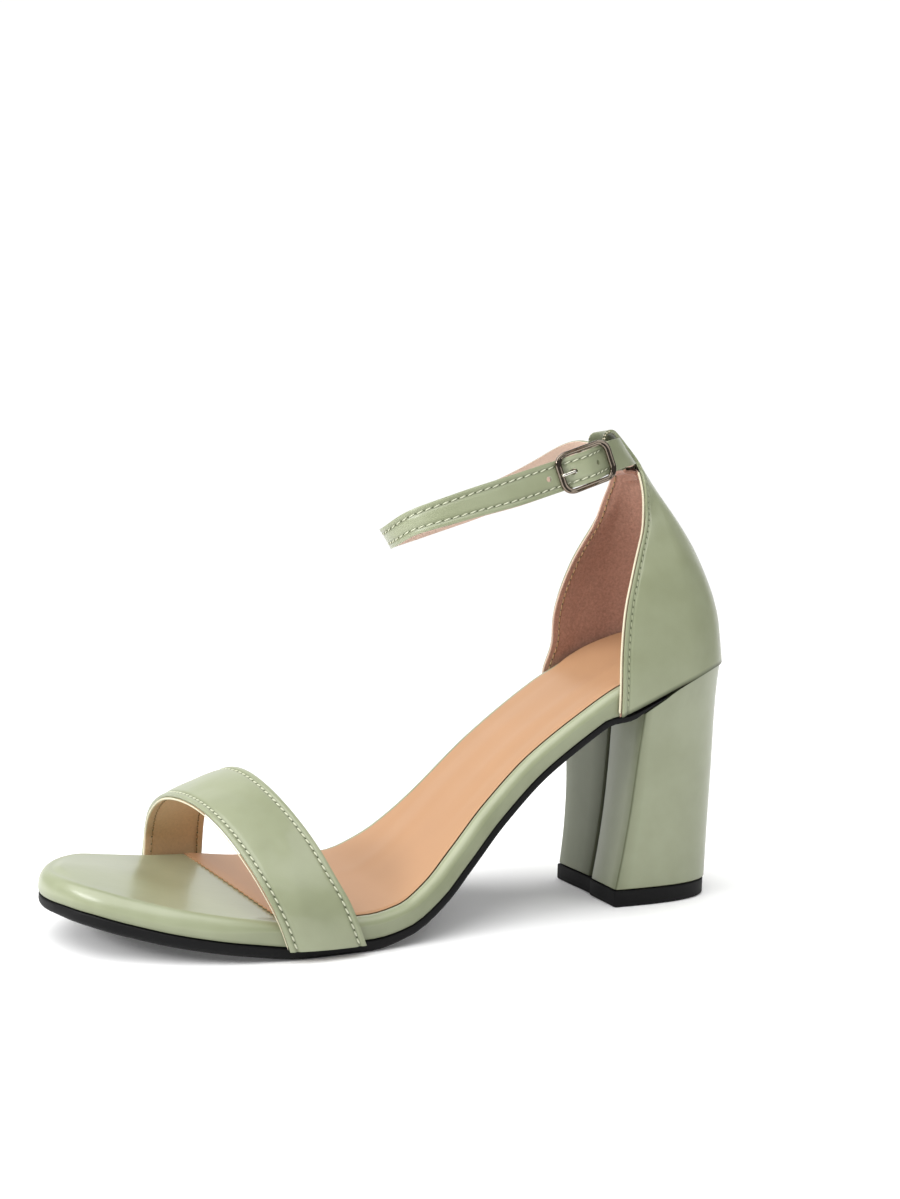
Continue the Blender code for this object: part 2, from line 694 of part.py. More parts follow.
def strap_ring(place, up, out, width):
    """Section of the strap, with its four corners taken off."""
    wide = width / 2
    thick = STRAP_THICKNESS / 2
    corner = STRAP_CORNER
    outline = [(wide, thick - corner), (wide - corner, thick)]
    ring = []
    for side_up, side_out, order in ((1, 1, 1), (-1, 1, -1), (-1, -1, 1), (1, -1, -1)):
        for across, off in outline[::order]:
            ring.append(place + up * (side_up * across) + out * (side_out * off))
    return ring


def ankle_loop():
    return Loop(LOOP_TO_TAB + tunnel_rows() + LOOP_FROM_TAB)


def make_ankle_strap():
    loop = ankle_loop()
    lift = strap_lift(loop.length)
    place, run, up, out = loop.frame(0.0)
    bar = place + out * (FRAME_STAND - BAR_DROP)
    turn = BAR_RADIUS + SEAM_GAP + STRAP_THICKNESS / 2
    rings = []
    for degrees in range(140, -91, -23):
        angle = math.radians(degrees)
        spoke = -run * math.cos(angle) + out * math.sin(angle)
        rings.append(strap_ring(bar + spoke * turn, up, -spoke, STRAP_WIDTH))
    start = 3.0
    end = loop.length + FRAME_LENGTH / 2 + TAIL_TIP
    for i in range(LOOP_STATIONS + 1):
        distance = mix(start, end, i / LOOP_STATIONS)
        place, run, up, out = loop.frame(distance)
        slope = math.atan(lift(distance + 0.5) - lift(distance - 0.5))
        face = out * math.cos(slope) - run * math.sin(slope)
        rings.append(strap_ring(place + out * lift(distance), up, face, loop.width(distance)))
    strap = add_piece("ankle_strap", loft("ankle_strap", rings), "sage_green")
    combine(strap, prong_slot(), "DIFFERENCE")
    for cutter in strap_holes(loop, lift):
        combine(strap, cutter, "DIFFERENCE")


def buckle_matrix():
    """The frame's own axes: x back along the strap, y up across it, z out of it."""
    place, run, up, out = ankle_loop().frame(0.0)
    centre = (place + out * FRAME_STAND - ORIGIN) * MM
    return Matrix.Translation(centre) @ Matrix((run, up, out)).transposed().to_4x4()


def prong_slot():
    """Box that opens the turned end of the strap for the foot of the prong."""
    bm = bmesh.new()
    bmesh.ops.create_cube(bm, size=1.0)
    high = 2 * (BAR_RADIUS + SEAM_GAP + STRAP_THICKNESS) + 0.4
    bmesh.ops.scale(bm, vec=Vector((8.0, 2 * PRONG_RADIUS + 1.2, high)) * MM, verts=bm.verts)
    mesh = bpy.data.meshes.new("prong_slot")
    bm.to_mesh(mesh)
    bm.free()
    matrix = buckle_matrix() @ Matrix.Translation(Vector((0.0, 0.0, -BAR_DROP)) * MM)
    return add_cutter("prong_slot", mesh, matrix)


def hole_cutter(name, matrix, length):
    bm = bmesh.new()
    radius = HOLE_RADIUS * MM
    bmesh.ops.create_cone(bm, cap_ends=True, segments=12, radius1=radius, radius2=radius, depth=length * MM)
    mesh = bpy.data.meshes.new(name)
    bm.to_mesh(mesh)
    bm.free()
    return add_cutter(name, mesh, matrix)


def prong_ends():
    """The prong's shaft in the frame's own axes, from above the bar to just past the front bar."""
    foot = Vector((0.0, 0.0, -BAR_DROP + BAR_RADIUS + SEAM_GAP + PRONG_RADIUS))
    tip = Vector((-FRAME_LENGTH / 2 - 0.9, 0.0, FRAME_WIRE + SEAM_GAP + PRONG_RADIUS))
    return foot, tip


def strap_holes(loop, lift):
    """Hole that the prong goes through, cut along it, and one spare hole on either side."""
    foot, tip = prong_ends()
    along = (tip - foot).normalized()
    lie = along.to_track_quat("Z", "Y").to_matrix().to_4x4()
    middle = Matrix.Translation(foot.lerp(tip, PRONG_HOLE_SHARE * FRAME_LENGTH / 2 / -tip.x) * MM)
    cutters = [hole_cutter("prong_hole", buckle_matrix() @ middle @ lie, 5.0)]
    for name, offset in (("front_hole", -HOLE_PITCH), ("tail_hole", HOLE_PITCH)):
        distance = loop.length - PRONG_HOLE_SHARE * FRAME_LENGTH / 2 + offset
        place, run, up, out = loop.frame(distance)
        slope = math.atan(lift(distance + 0.5) - lift(distance - 0.5))
        face = out * math.cos(slope) - run * math.sin(slope)
        centre = Matrix.Translation((place + out * lift(distance) - ORIGIN) * MM)
        cutters.append(hole_cutter(name, centre @ face.to_track_quat("Z", "Y").to_matrix().to_4x4(), 2.2))
    return cutters


def wire(name, points, radius, cyclic):
    """Round wire through points of the frame's own axes, made a mesh with its caps welded."""
    curve = bpy.data.curves.new(name, "CURVE")
    curve.dimensions = "3D"
    curve.bevel_depth = radius * MM
    curve.bevel_resolution = 2
    curve.use_fill_caps = not cyclic
    spline = curve.splines.new("POLY")
    spline.points.add(len(points) - 1)
    for knot, point in zip(spline.points, points):
        knot.co = (*(point * MM), 1.0)
    spline.use_cyclic_u = cyclic
    draft = bpy.data.objects.new(name, curve)
    bpy.context.scene.collection.objects.link(draft)
    mesh = bpy.data.meshes.new_from_object(draft.evaluated_get(bpy.context.evaluated_depsgraph_get()))
    bpy.data.objects.remove(draft, do_unlink=True)
    bm = bmesh.new()
    bm.from_mesh(mesh)
    bmesh.ops.remove_doubles(bm, verts=bm.verts, dist=1e-6)
    bmesh.ops.recalc_face_normals(bm, faces=bm.faces)
    bm.to_mesh(mesh)
    bm.free()
    mesh.materials.clear()
    mesh.shade_smooth()
    return mesh


def make_buckle_frame():
    """Rounded frame of wire with a bar across its middle, set a little lower."""
    corner_x = FRAME_LENGTH / 2 - FRAME_CORNER
    corner_y = FRAME_WIDTH / 2 - FRAME_CORNER
    points = []
    for quarter, (sign_x, sign_y) in enumerate(((1, 1), (-1, 1), (-1, -1), (1, -1))):
        for step in range(5):
            angle = math.radians(90.0 * quarter + 22.5 * step)
            spoke = Vector((math.cos(angle), math.sin(angle), 0.0)) * FRAME_CORNER
            points.append(Vector((sign_x * corner_x, sign_y * corner_y, 0.0)) + spoke)
    frame = add_piece("buckle_frame", wire("buckle_frame", points, FRAME_WIRE, True), "gunmetal")
    frame.matrix_world = buckle_matrix()
    reach = FRAME_WIDTH / 2
    ends = [Vector((0.0, -reach, -BAR_DROP)), Vector((0.0, reach, -BAR_DROP))]
    bar = add_cutter("centre_bar", wire("centre_bar", ends, BAR_RADIUS, False), buckle_matrix())
    combine(frame, bar, "UNION")


def make_buckle_prong():
    """Pin with its foot curled round the bar."""
    foot, tip = prong_ends()
    curl = BAR_RADIUS + SEAM_GAP + PRONG_RADIUS
    points = []
    for degrees in range(-200, 91, 29):
        angle = math.radians(degrees)
        points.append(Vector((curl * math.cos(angle), 0.0, curl * math.sin(angle) - BAR_DROP)))
    points += [foot.lerp(tip, share) for share in (0.35, 0.7, 1.0)]
    prong = add_piece("buckle_prong", wire("buckle_prong", points, PRONG_RADIUS, False), "gunmetal")
    prong.matrix_world = buckle_matrix()


def main():
    for old in list(bpy.data.objects):
        bpy.data.objects.remove(old, do_unlink=True)
    collection("heeled_sandal")
    collection("cutters")
    make_outsole()
    make_platform()
    make_insole()
    make_heel_block()
    make_top_piece()
    make_vamp_strap()
    make_counter()
    make_ankle_strap()
    make_buckle_frame()
    make_buckle_prong()


main()
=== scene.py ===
"""Looks of a heeled sandal with an ankle strap: its fine pieces, finishes, stage and camera.

The scene is in metres, with +X from toe to heel, +Y to the inner (big toe) side and +Z up. Tables are in
millimetres of the last: x from the tip of the toe, y from the last's long axis, z from the floor.
"""

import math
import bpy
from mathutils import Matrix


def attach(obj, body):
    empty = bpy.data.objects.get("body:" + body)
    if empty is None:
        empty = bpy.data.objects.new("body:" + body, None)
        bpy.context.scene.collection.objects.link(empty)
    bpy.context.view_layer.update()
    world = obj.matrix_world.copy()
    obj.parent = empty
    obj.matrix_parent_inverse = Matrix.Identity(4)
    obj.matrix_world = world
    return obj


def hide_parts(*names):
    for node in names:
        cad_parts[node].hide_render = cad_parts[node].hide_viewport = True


bl_info = {
    "name": "Heeled sandal",
    "version": (1, 0, 0),
    "blender": (4, 5, 0),
    "location": "3D View > Sidebar > Sandal",
    "description": "Builds the fine pieces and finishes of a heeled sandal over its packed solids",
    "category": "Object",
}

from collections import namedtuple

import bpy
import numpy as np
from mathutils import Matrix, Vector

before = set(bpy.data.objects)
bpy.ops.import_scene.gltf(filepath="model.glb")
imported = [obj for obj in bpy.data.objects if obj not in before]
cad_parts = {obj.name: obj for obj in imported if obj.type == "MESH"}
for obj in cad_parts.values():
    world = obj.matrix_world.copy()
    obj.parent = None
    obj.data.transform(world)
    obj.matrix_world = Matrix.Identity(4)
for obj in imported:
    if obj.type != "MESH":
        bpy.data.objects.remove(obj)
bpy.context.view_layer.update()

MM = 0.001
ORIGIN = Vector((113.3, 0.3, 0.0))

SOLE_LENGTH = 222.5
BALL_WIDTH = 86.6
HEEL_HEIGHT = 80.0
SEAM_GAP = 0.3
BOARD = 6.4
SEAT_BOARD = 9.0
RUBBER = 3.4
OUTSOLE_END = 186.0
FOREFOOT_BED = BOARD + SEAM_GAP + RUBBER
BOARD_RIM_RADIUS = 2.6
TOE_ROLL_ACROSS = 3.0
TOE_ROLL_DROP = 4.6
SEAT_RIM_RADIUS = 0.4
OUTSOLE_EDGE = 1.4
SOLE_STATIONS = 130
TOE_CROWN = 0.8
INSOLE_THICKNESS = 1.1
INSOLE_FRONT_THICKNESS = 0.5
INSOLE_RECESS = 0.9
INSOLE_HEEL_PAD = 1.4
INSOLE_INSET = 3.6
INSOLE_SEAT_INSET = 1.0
INSOLE_FRONT_LATERAL = 61.0
INSOLE_FRONT_MEDIAL = 49.5
WALL = 1.8
UPPER_CLEARANCE = 0.5
UPPER_OUTSET = UPPER_CLEARANCE + WALL
COUNTER_FRONT = 173.4
COUNTER_MEDIAL_SETBACK = 2.4
VAMP_CROWN = 0.9
TOP_PIECE_HEIGHT = 5.4
TOP_PIECE_EDGE = 0.6
TOP_PIECE_BACK_STEP = 1.2
HEEL_WRAP_STEP = 0.9
HEEL_SEAM_FOOT = 0.20
HEEL_SEAM_FLARE = 0.07
STRAP_WIDTH = 9.9
STRAP_THICKNESS = 1.4
TAIL_TIP = 1.8
FRAME_LENGTH = 18.8
FRAME_WIDTH = 11.9
FRAME_CORNER = 3.4
FRAME_WIRE = 0.8
FRAME_STAND = FRAME_WIRE + 2 * SEAM_GAP + 1.5 * STRAP_THICKNESS
BAR_RADIUS = 0.7
BAR_DROP = 1.2
PRONG_RADIUS = 0.55
PRONG_HOLE_SHARE = 0.5
WIRE_PASS = 1.2
HOLE_PITCH = 8.6
HOLE_RADIUS = 0.9
HOLE_DEPTH = 4.4

# Where one form turns into the next: stations of the sole, shares of the vamp's run, lengths of the strap
TOE_WRAP = (38.0, 62.0)
BARE_TOE = (25.0, 52.0)
SOCK_FRONT = (INSOLE_FRONT_MEDIAL, INSOLE_FRONT_LATERAL + 20.0)
BESIDE_SOCK = (INSOLE_FRONT_LATERAL - 4.0, INSOLE_FRONT_LATERAL + 12.0)
SOCK_CUP = (150.0, 190.0)
HEEL_PAD = (COUNTER_FRONT + 2.0, COUNTER_FRONT + 20.0)
COUNTER_COVER = (COUNTER_FRONT + 1.0, COUNTER_FRONT + 12.0)
OUTSOLE_SPREAD = (COUNTER_FRONT - 6.0, COUNTER_FRONT + 2.0)
VAMP_LINING_SHOWS = (0.38, 0.62)
STRAP_SEWN = (56.0, 62.0)

# What the fine pieces add to the solids, in millimetres, degrees or as shares
SLOPE_STEP = 2.0
AXIS_MARGIN = 6.0
RIM_STEPS = 12
BED_SHARES = (0.1, 0.2, 0.35, 0.5, 0.65, 0.8, 0.9, 1.0)
# Painted shade: darker towards the platform's lowest rows, and in the gap of the bed beside the sock
BOARD_SHADES = (0.55, 0.55, 0.55, 0.3, 0.18, 0.14, 0.1)
BED_SHADE = 0.95
CLOSED_SEAM = 0.02
SOCK_THICKNESS = 0.45
SOCK_PLAY = 0.2
SOCK_EDGE = 1.1
SOCK_EDGE_DROP = 0.45
SOCK_CUP_DEPTH = 0.5
SOCK_RIDGE_FADE = 22.0
SOCK_RIDGE_DRIFT = 0.03
PINKING = 0.35
HEEL_CORNER = 0.7
HEEL_SEAM_OPEN = 1.9
HEEL_SIDE_SHADE = 0.07
HEEL_MIDDLE = Vector((201.0, 0.0))
TOP_PIECE_MIDDLE = Vector((200.0, 0.0))
LAYER_GAP = 0.12
FACE_EDGE = 0.35
BINDING = 0.38
THIN_BINDING = 0.16
COUNTER_ROW = 200
COUNTER_LINING_ROW = 185
TOOTH_PITCH = 1.1
TOOTH_RADIUS = 0.62
STRAP_FACE = 0.8
STRAP_EDGE = 0.25
STRAP_THREAD = 0.8
STITCH_HALF = 0.42
STITCH_SLANT = 9.0
LAYER_ANGLE = 50.0
SHELL_ANGLE = 35.0
TUBE_ANGLE = 60.0

SoleSection = namedtuple("SoleSection", "along lateral medial rise board rubber")
SOLE = [SoleSection(*row) for row in (
    (0.000, 0.000, 0.000, 0.118, BOARD, RUBBER),
    (0.022, 0.180, 0.172, 0.118, BOARD, RUBBER),
    (0.054, 0.278, 0.268, 0.109, BOARD, RUBBER),
    (0.099, 0.351, 0.334, 0.083, BOARD, RUBBER),
    (0.162, 0.427, 0.406, 0.050, BOARD, RUBBER),
    (0.234, 0.476, 0.487, 0.022, BOARD, RUBBER),
    (0.306, 0.488, 0.512, 0.000, BOARD, RUBBER),
    (0.387, 0.473, 0.471, 0.000, BOARD, RUBBER),
    (0.432, 0.453, 0.434, 0.019, BOARD, 2.9),
    (0.476, 0.418, 0.381, 0.086, BOARD, 2.5),
    (0.521, 0.370, 0.326, 0.195, BOARD, 2.4),
    (0.575, 0.330, 0.291, 0.346, BOARD, 2.4),
    (0.647, 0.309, 0.296, 0.529, BOARD, 2.4),
    (0.740, 0.313, 0.318, 0.716, BOARD, 2.4),
    (0.777, 0.317, 0.322, 0.782, 8.8, 2.3),
    (0.809, 0.319, 0.323, 0.826, SEAT_BOARD, 1.0),
    (0.890, 0.305, 0.307, 0.926, SEAT_BOARD, 0.0),
    (0.946, 0.249, 0.249, 0.979, SEAT_BOARD, 0.0),
    (1.000, 0.000, 0.000, 1.006, SEAT_BOARD, 0.0),
)]

CounterSection = namedtuple("CounterSection", "front_x front_z half back_x back_z flat")
COUNTER = [CounterSection(*row) for row in (
    (173.4, 82.0, 29.2, 223.6, 97.0, 0.0),
    (174.0, 90.0, 28.4, 221.0, 104.5, 0.0),
    (175.4, 98.5, 27.0, 217.4, 112.0, 0.0),
    (178.0, 107.0, 25.0, 213.2, 119.5, 0.0),
    (181.2, 115.0, 22.4, 208.6, 126.5, 0.1),
    (184.6, 122.5, 19.6, 204.0, 132.3, 0.25),
    (187.4, 129.5, 16.6, 200.0, 137.2, 0.5),
    (189.0, 136.5, 13.8, 196.8, 141.4, 0.8),
    (189.8, 142.8, 10.2, 193.9, 145.6, 1.0),
    (189.0, 148.4, 7.2, 190.9, 149.2, 1.0),
    (186.3, 152.5, 5.6, 187.6, 152.8, 1.0),
)]
TAB_FOLD_STEPS = 8
TAB_RISE = 6.2
TAB_FLAP = 17.2
TAB_HALF = 4.9
TUNNEL_DROP = 0.5
TUNNEL_MIDDLE = 0.58
TUNNEL_GAP = STRAP_THICKNESS + 2 * 0.7

VampSection = namedtuple("VampSection", "front_x front_y front_z rear_x rear_y rear_z")
VAMP = [VampSection(*row) for row in (
    (56.6, -43.2, 16.0, 79.4, -42.4, 15.2),
    (53.3, -39.6, 22.8, 76.4, -39.0, 21.2),
    (50.0, -33.4, 28.8, 73.1, -33.4, 28.2),
    (47.0, -26.0, 33.4, 69.7, -26.0, 34.4),
    (44.2, -17.5, 36.6, 66.3, -17.5, 39.6),
    (41.6, -7.5, 38.3, 63.2, -7.5, 43.4),
    (39.0, 3.0, 38.5, 60.2, 3.0, 45.6),
    (37.0, 13.0, 37.0, 57.6, 13.5, 45.0),
    (36.0, 23.0, 33.2, 56.2, 24.0, 41.0),
    (35.9, 33.0, 27.0, 55.6, 34.5, 33.0),
    (36.3, 39.2, 20.0, 56.0, 42.6, 23.0),
)]
VampFoot = namedtuple("VampFoot", "front_x rear_x side depth")
VAMP_LATERAL_FOOT = [
    VampFoot(62.6, 84.0, -1, BOARD + 0.6),
    VampFoot(60.2, 82.0, -1, 2.0),
]
VAMP_MEDIAL_FOOT = [
    VampFoot(36.8, 56.6, 1, 2.0),
    VampFoot(37.4, 57.2, 1, BOARD + 0.6),
]

HeelSection = namedtuple("HeelSection", "height breast_x lateral medial back_x square")
HEEL = [HeelSection(*row) for row in (
    (0.00, 179.4, 20.0, 19.0, 223.2, 2.9),
    (0.25, 181.4, 21.2, 20.4, 223.4, 2.8),
    (0.50, 182.6, 22.8, 22.2, 223.6, 2.7),
    (0.75, 183.0, 25.0, 24.6, 223.8, 2.5),
    (0.90, 182.8, 27.2, 26.8, 224.3, 2.35),
    (1.00, 182.4, 28.8, 28.4, 224.8, 2.3),
)]

LoopSection = namedtuple("LoopSection", "x y z tip_x tip_y width")
LOOP_TO_TAB = [LoopSection(*row) for row in (
    (159.0, -21.5, 143.0, -0.38, 0.05, STRAP_WIDTH),
    (171.0, -20.6, 147.7, -0.45, 0.05, STRAP_WIDTH),
    (178.6, -16.0, 149.8, -0.75, 0.04, STRAP_WIDTH),
)]
LOOP_FROM_TAB = [LoopSection(*row) for row in (
    (179.0, 15.0, 151.2, -0.75, -0.05, STRAP_WIDTH),
    (170.0, 21.5, 145.8, -0.45, -0.05, STRAP_WIDTH),
    (152.0, 24.5, 135.5, -0.40, 0.05, 10.0),
    (132.0, 23.0, 127.4, -0.40, 0.10, 9.2),
    (114.0, 15.0, 121.2, -0.42, 0.20, 8.0),
    (106.0, 8.0, 118.9, -0.50, 0.30, 7.4),
    (102.8, 1.0, 118.4, -0.55, 0.40, 7.2),
    (102.2, -8.0, 120.0, -0.50, 0.50, 7.4),
    (104.6, -14.5, 122.8, -0.42, 0.50, 7.8),
    (112.0, -20.0, 126.2, -0.40, 0.45, 8.6),
    (122.0, -22.4, 129.9, -0.38, 0.35, 9.2),
    (134.0, -23.2, 133.9, -0.36, 0.25, 9.8),
    (147.0, -22.4, 138.5, -0.37, 0.10, STRAP_WIDTH),
)]

# Main creases of the upper: start and end on the surface as (u, v), then width and depth in millimetres
VAMP_CREASES = [
    ((0.05, 0.30), (0.24, 0.55), 3.4, 0.30),
    ((0.08, 0.72), (0.27, 0.36), 3.0, -0.22),
    ((0.36, 0.25), (0.50, 0.62), 4.2, 0.26),
    ((0.58, 0.70), (0.70, 0.35), 4.0, 0.24),
    ((0.82, 0.30), (0.95, 0.60), 3.2, 0.28),
]
COUNTER_CREASES = [
    ((0.10, 0.30), (0.30, 0.18), 5.0, 0.35),
    ((0.14, 0.40), (0.42, 0.30), 5.5, -0.28),
    ((0.20, 0.46), (0.34, 0.42), 3.6, 0.26),
    ((0.70, 0.26), (0.88, 0.36), 5.0, 0.32),
    ((0.60, 0.40), (0.80, 0.47), 4.0, 0.24),
]

# Soft lengthwise ridges of the sock: middle across, width and height, then first and last station
SOCK_RIDGES = [
    (-9.0, 3.4, 0.30, 118.0, 205.0),
    (-16.5, 2.6, -0.20, 112.0, 190.0),
    (4.0, 4.0, 0.26, 84.0, 172.0),
    (14.0, 3.6, -0.22, 96.0, 186.0),
]

# Camera found from the photo, in the last's millimetres
CAMERA_PLACE = Vector((-36.315, -367.336, 111.214))
CAMERA_RIGHT = Vector((0.91555, -0.40050, 0.03705))
CAMERA_UP = Vector((-0.02218, 0.04170, 0.99888))
CAMERA_FORWARD = Vector((0.40160, 0.91535, -0.02930))
CAMERA_LENS_MM = 37.22

# Soft lamps of the stage: name, place, long and short side in metres, and watts
LAMPS = (
    ("left_strip", (-0.95, -0.12, 0.50), 0.60, 0.20, 4.2),
    ("front_strip", (0.05, -0.80, 0.85), 0.60, 0.16, 0.6),
    ("top_box", (0.46, -0.10, 0.92), 1.05, 0.40, 2.8),
)
LAMPS_AIM = Vector((0.0, 0.0, 0.06))
WHITE = (1.0, 1.0, 1.0, 1.0)


def linear(hex_colour):
    """Linear red, green and blue of an sRGB hex colour."""
    channels = [int(hex_colour[i:i + 2], 16) / 255.0 for i in (0, 2, 4)]
    return tuple(c / 12.92 if c <= 0.04045 else ((c + 0.055) / 1.055) ** 2.4 for c in channels)


def length_setting(label, text, default):
    """Length that a user can change, in metres."""
    return bpy.props.FloatProperty(name=label, description=text, default=default, unit="LENGTH", precision=5)


def colour_setting(label, text, hex_colour):
    """Colour that a user can change, from its sRGB hex value."""
    return bpy.props.FloatVectorProperty(
        name=label, description=text, default=linear(hex_colour), subtype="COLOR")


class SandalSizes(bpy.types.PropertyGroup):
    """Sizes of the sewn layers and of the thread."""

    face: length_setting("Face layer", "Thickness of the outer layer of the upper", 0.0011)
    lining: length_setting("Lining layer", "Thickness of the lining of the upper", 0.0005)
    stitch_inset: length_setting("Stitch inset", "Distance of a stitch row from its edge", 0.0021)
    strap_pitch: length_setting("Strap pitch", "Length from stitch to stitch on the ankle strap", 0.0028)
    upper_pitch: length_setting("Upper pitch", "Length from stitch to stitch on the vamp and counter", 0.0023)
    thread: length_setting("Thread", "Thickness of the sewing thread", 0.0005)


class SandalColours(bpy.types.PropertyGroup):
    """Colours of the finishes."""

    sage: colour_setting("Sage", "Coated face of the upper, platform and heel", "989E80")
    sage_shade: colour_setting("Sage shade", "Slightly deeper tone of the same coating", "909677")
    sock: colour_setting("Sock", "Smooth sock on the footbed", "B68D6A")
    suede: colour_setting("Counter lining", "Brushed lining of the counter", "AA8271")
    vamp_lining: colour_setting("Vamp lining", "Lining under the vamp band", "DFC29E")
    strap_lining: colour_setting("Strap lining", "Lining of the ankle strap", "D2B9A8")
    edge: colour_setting("Cut edge", "Pale cut edge of the linings", "E0D8BE")
    thread: colour_setting("Thread", "Thread on the vamp and strap", "CDD0B6")
    dark_thread: colour_setting("Counter thread", "Thread on the counter", "A5AB8B")
    lining_thread: colour_setting("Lining thread", "Thread that shows on the linings", "A98A63")
    needle_hole: colour_setting("Needle hole", "Shade at the ends of each stitch", "5E654D")
    rubber: colour_setting("Rubber", "Outsole and top piece", "070708")
    gunmetal: colour_setting("Gunmetal", "Dark plated buckle", "82776B")
    nickel: colour_setting("Nickel", "Bright plated prong", "D8D5CC")
    floor: colour_setting("Floor", "Pale floor of the stage", "FAFAFA")


def sizes():
    return bpy.context.scene.sandal_sizes


def colours():
    return bpy.context.scene.sandal_colours


# Shape of the last and its pieces

def smooth_through(xs, ys):
    """Return a function that runs smoothly through the points and doesn't overshoot them."""
    spans = [b - a for a, b in zip(xs, xs[1:])]
    rates = [(d - c) / span for c, d, span in zip(ys, ys[1:], spans)]
    slopes = [rates[0]]
    for before, after in zip(rates, rates[1:]):
        slopes.append(0.0 if before * after <= 0.0 else 2.0 * before * after / (before + after))
    slopes.append(rates[-1])

    def at(x):
        i = 0
        while i < len(spans) - 1 and x > xs[i + 1]:
            i += 1
        span = spans[i]
        t = (x - xs[i]) / span
        rise = ys[i + 1] - ys[i]
        bend = t * (1.0 - t) * ((1.0 - t) * (slopes[i] * span - rise) - t * (slopes[i + 1] * span - rise))
        return ys[i] + t * rise + bend

    return at


class PointSpline:
    """Evenly bending curve through points, by the length of the chords between them."""

    def __init__(self, points):
        self.points = np.array(points, float)
        steps = np.linalg.norm(np.diff(self.points[:, :3], axis=0), axis=1)
        self.marks = np.concatenate(([0.0], np.cumsum(steps)))
        self.length = self.marks[-1]
        count = len(points)
        system = np.eye(count)
        known = np.zeros_like(self.points)
        for i in range(1, count - 1):
            before = self.marks[i] - self.marks[i - 1]
            after = self.marks[i + 1] - self.marks[i]
            system[i, i - 1:i + 2] = before, 2.0 * (before + after), after
            known[i] = 6.0 * (self.points[i + 1] - self.points[i]) / after
            known[i] -= 6.0 * (self.points[i] - self.points[i - 1]) / before
        self.bends = np.linalg.solve(system, known)

    def at(self, mark):
        i = int(np.clip(np.searchsorted(self.marks, mark) - 1, 0, len(self.marks) - 2))
        span = self.marks[i + 1] - self.marks[i]
        a = (self.marks[i + 1] - mark) / span
        b = 1.0 - a
        bend = (a ** 3 - a) * self.bends[i] + (b ** 3 - b) * self.bends[i + 1]
        return a * self.points[i] + b * self.points[i + 1] + bend * span * span / 6.0


def column(rows, name):
    return [getattr(row, name) for row in rows]


def smooth_step(x, start, end):
    t = min(max((x - start) / (end - start), 0.0), 1.0)
    return t * t * (3.0 - 2.0 * t)


def mix(a, b, t):
    return a + (b - a) * t


def evenly(first, last, count):
    """Numbers at even steps from the first to the last."""
    return [mix(first, last, k / (count - 1)) for k in range(count)]


def bell(offset, width):
    """1 in the middle of a soft ridge or trough, fading to both sides."""
    return math.exp(-(offset / width) ** 2)


SOLE_X = [row.along * SOLE_LENGTH for row in SOLE]
footbed = smooth_through(SOLE_X, [FOREFOOT_BED + row.rise * HEEL_HEIGHT for row in SOLE])
board_thickness = smooth_through(SOLE_X, column(SOLE, "board"))
rubber_thickness = smooth_through(SOLE_X, column(SOLE, "rubber"))
lateral_square = smooth_through(SOLE_X, [(row.lateral * BALL_WIDTH) ** 2 for row in SOLE])
medial_square = smooth_through(SOLE_X, [(row.medial * BALL_WIDTH) ** 2 for row in SOLE])


def half_width(x, side):
    """Distance from the axis to the sole's edge: side is -1 for lateral and 1 for medial."""
    square = medial_square(x) if side > 0 else lateral_square(x)
    return math.sqrt(max(square, 0.0))


def sole_place(x, y, depth):
    """Point below the footbed at (x, y), the depth measured square to it."""
    slope = math.atan((footbed(x + SLOPE_STEP) - footbed(x - SLOPE_STEP)) / (2.0 * SLOPE_STEP))
    return Vector((x + depth * math.sin(slope), y, footbed(x) - depth * math.cos(slope)))


def sole_edge(x, side, outset):
    """Plan point on one side of the sole's edge, moved out square to it."""
    step = 0.25
    inner = min(max(x, step), SOLE_LENGTH - step)
    spread = (half_width(inner + step, side) - half_width(inner - step, side)) / (2.0 * step)
    outward = Vector((-spread, side)).normalized()
    if x <= 0.0 or x >= SOLE_LENGTH:
        outward = Vector((-1.0 if x <= 0.0 else 1.0, 0.0))
    return Vector((x, side * half_width(x, side))) + outward * outset


def round_stations(end):
    """Stations from the toe tip to an end, closer together at the tip and, on a whole sole, at the back."""
    count = SOLE_STATIONS
    xs = [SOLE_LENGTH * (1.0 - math.cos(math.pi * i / count)) / 2.0 for i in range(count + 1)]
    return xs if end >= SOLE_LENGTH else [x for x in xs if x < end - 0.5] + [end]


def insole_recess(x):
    """Depth of the bed that the sock lies in: none at its front edge, then flush with the rim."""
    return INSOLE_RECESS * smooth_step(x, *SOCK_FRONT)


def insole_top(x):
    """Height of the sock over the footbed: pared thin at its front edge, padded in the heel seat."""
    thickness = mix(INSOLE_FRONT_THICKNESS, INSOLE_THICKNESS, smooth_step(x, *SOCK_FRONT))
    return SEAM_GAP - insole_recess(x) + thickness + INSOLE_HEEL_PAD * smooth_step(x, *HEEL_PAD)


def in_counter(x):
    """0 on the open footbed, 1 where the counter's wall covers its edge."""
    return smooth_step(x, *COUNTER_COVER)


def rim_radius(x):
    return mix(BOARD_RIM_RADIUS, SEAT_RIM_RADIUS, in_counter(x))


def in_toe(x):
    """1 where the wrap rolls over the toe's edge, 0 from the vamp band on."""
    return 1.0 - smooth_step(x, *TOE_WRAP)


def rim_across(x):
    return mix(rim_radius(x), TOE_ROLL_ACROSS, in_toe(x))


def rim_drop(x):
    return mix(rim_radius(x), TOE_ROLL_DROP, in_toe(x))


def bed_inset(x):
    """Edge of the bed for the sock, always inside the rim."""
    return max(insole_inset(x) - SEAM_GAP, rim_across(x) + 0.4)


def insole_inset(x):
    """The sock leaves the rim free, and fills the counter to its wall."""
    return mix(INSOLE_INSET, INSOLE_SEAT_INSET, in_counter(x))


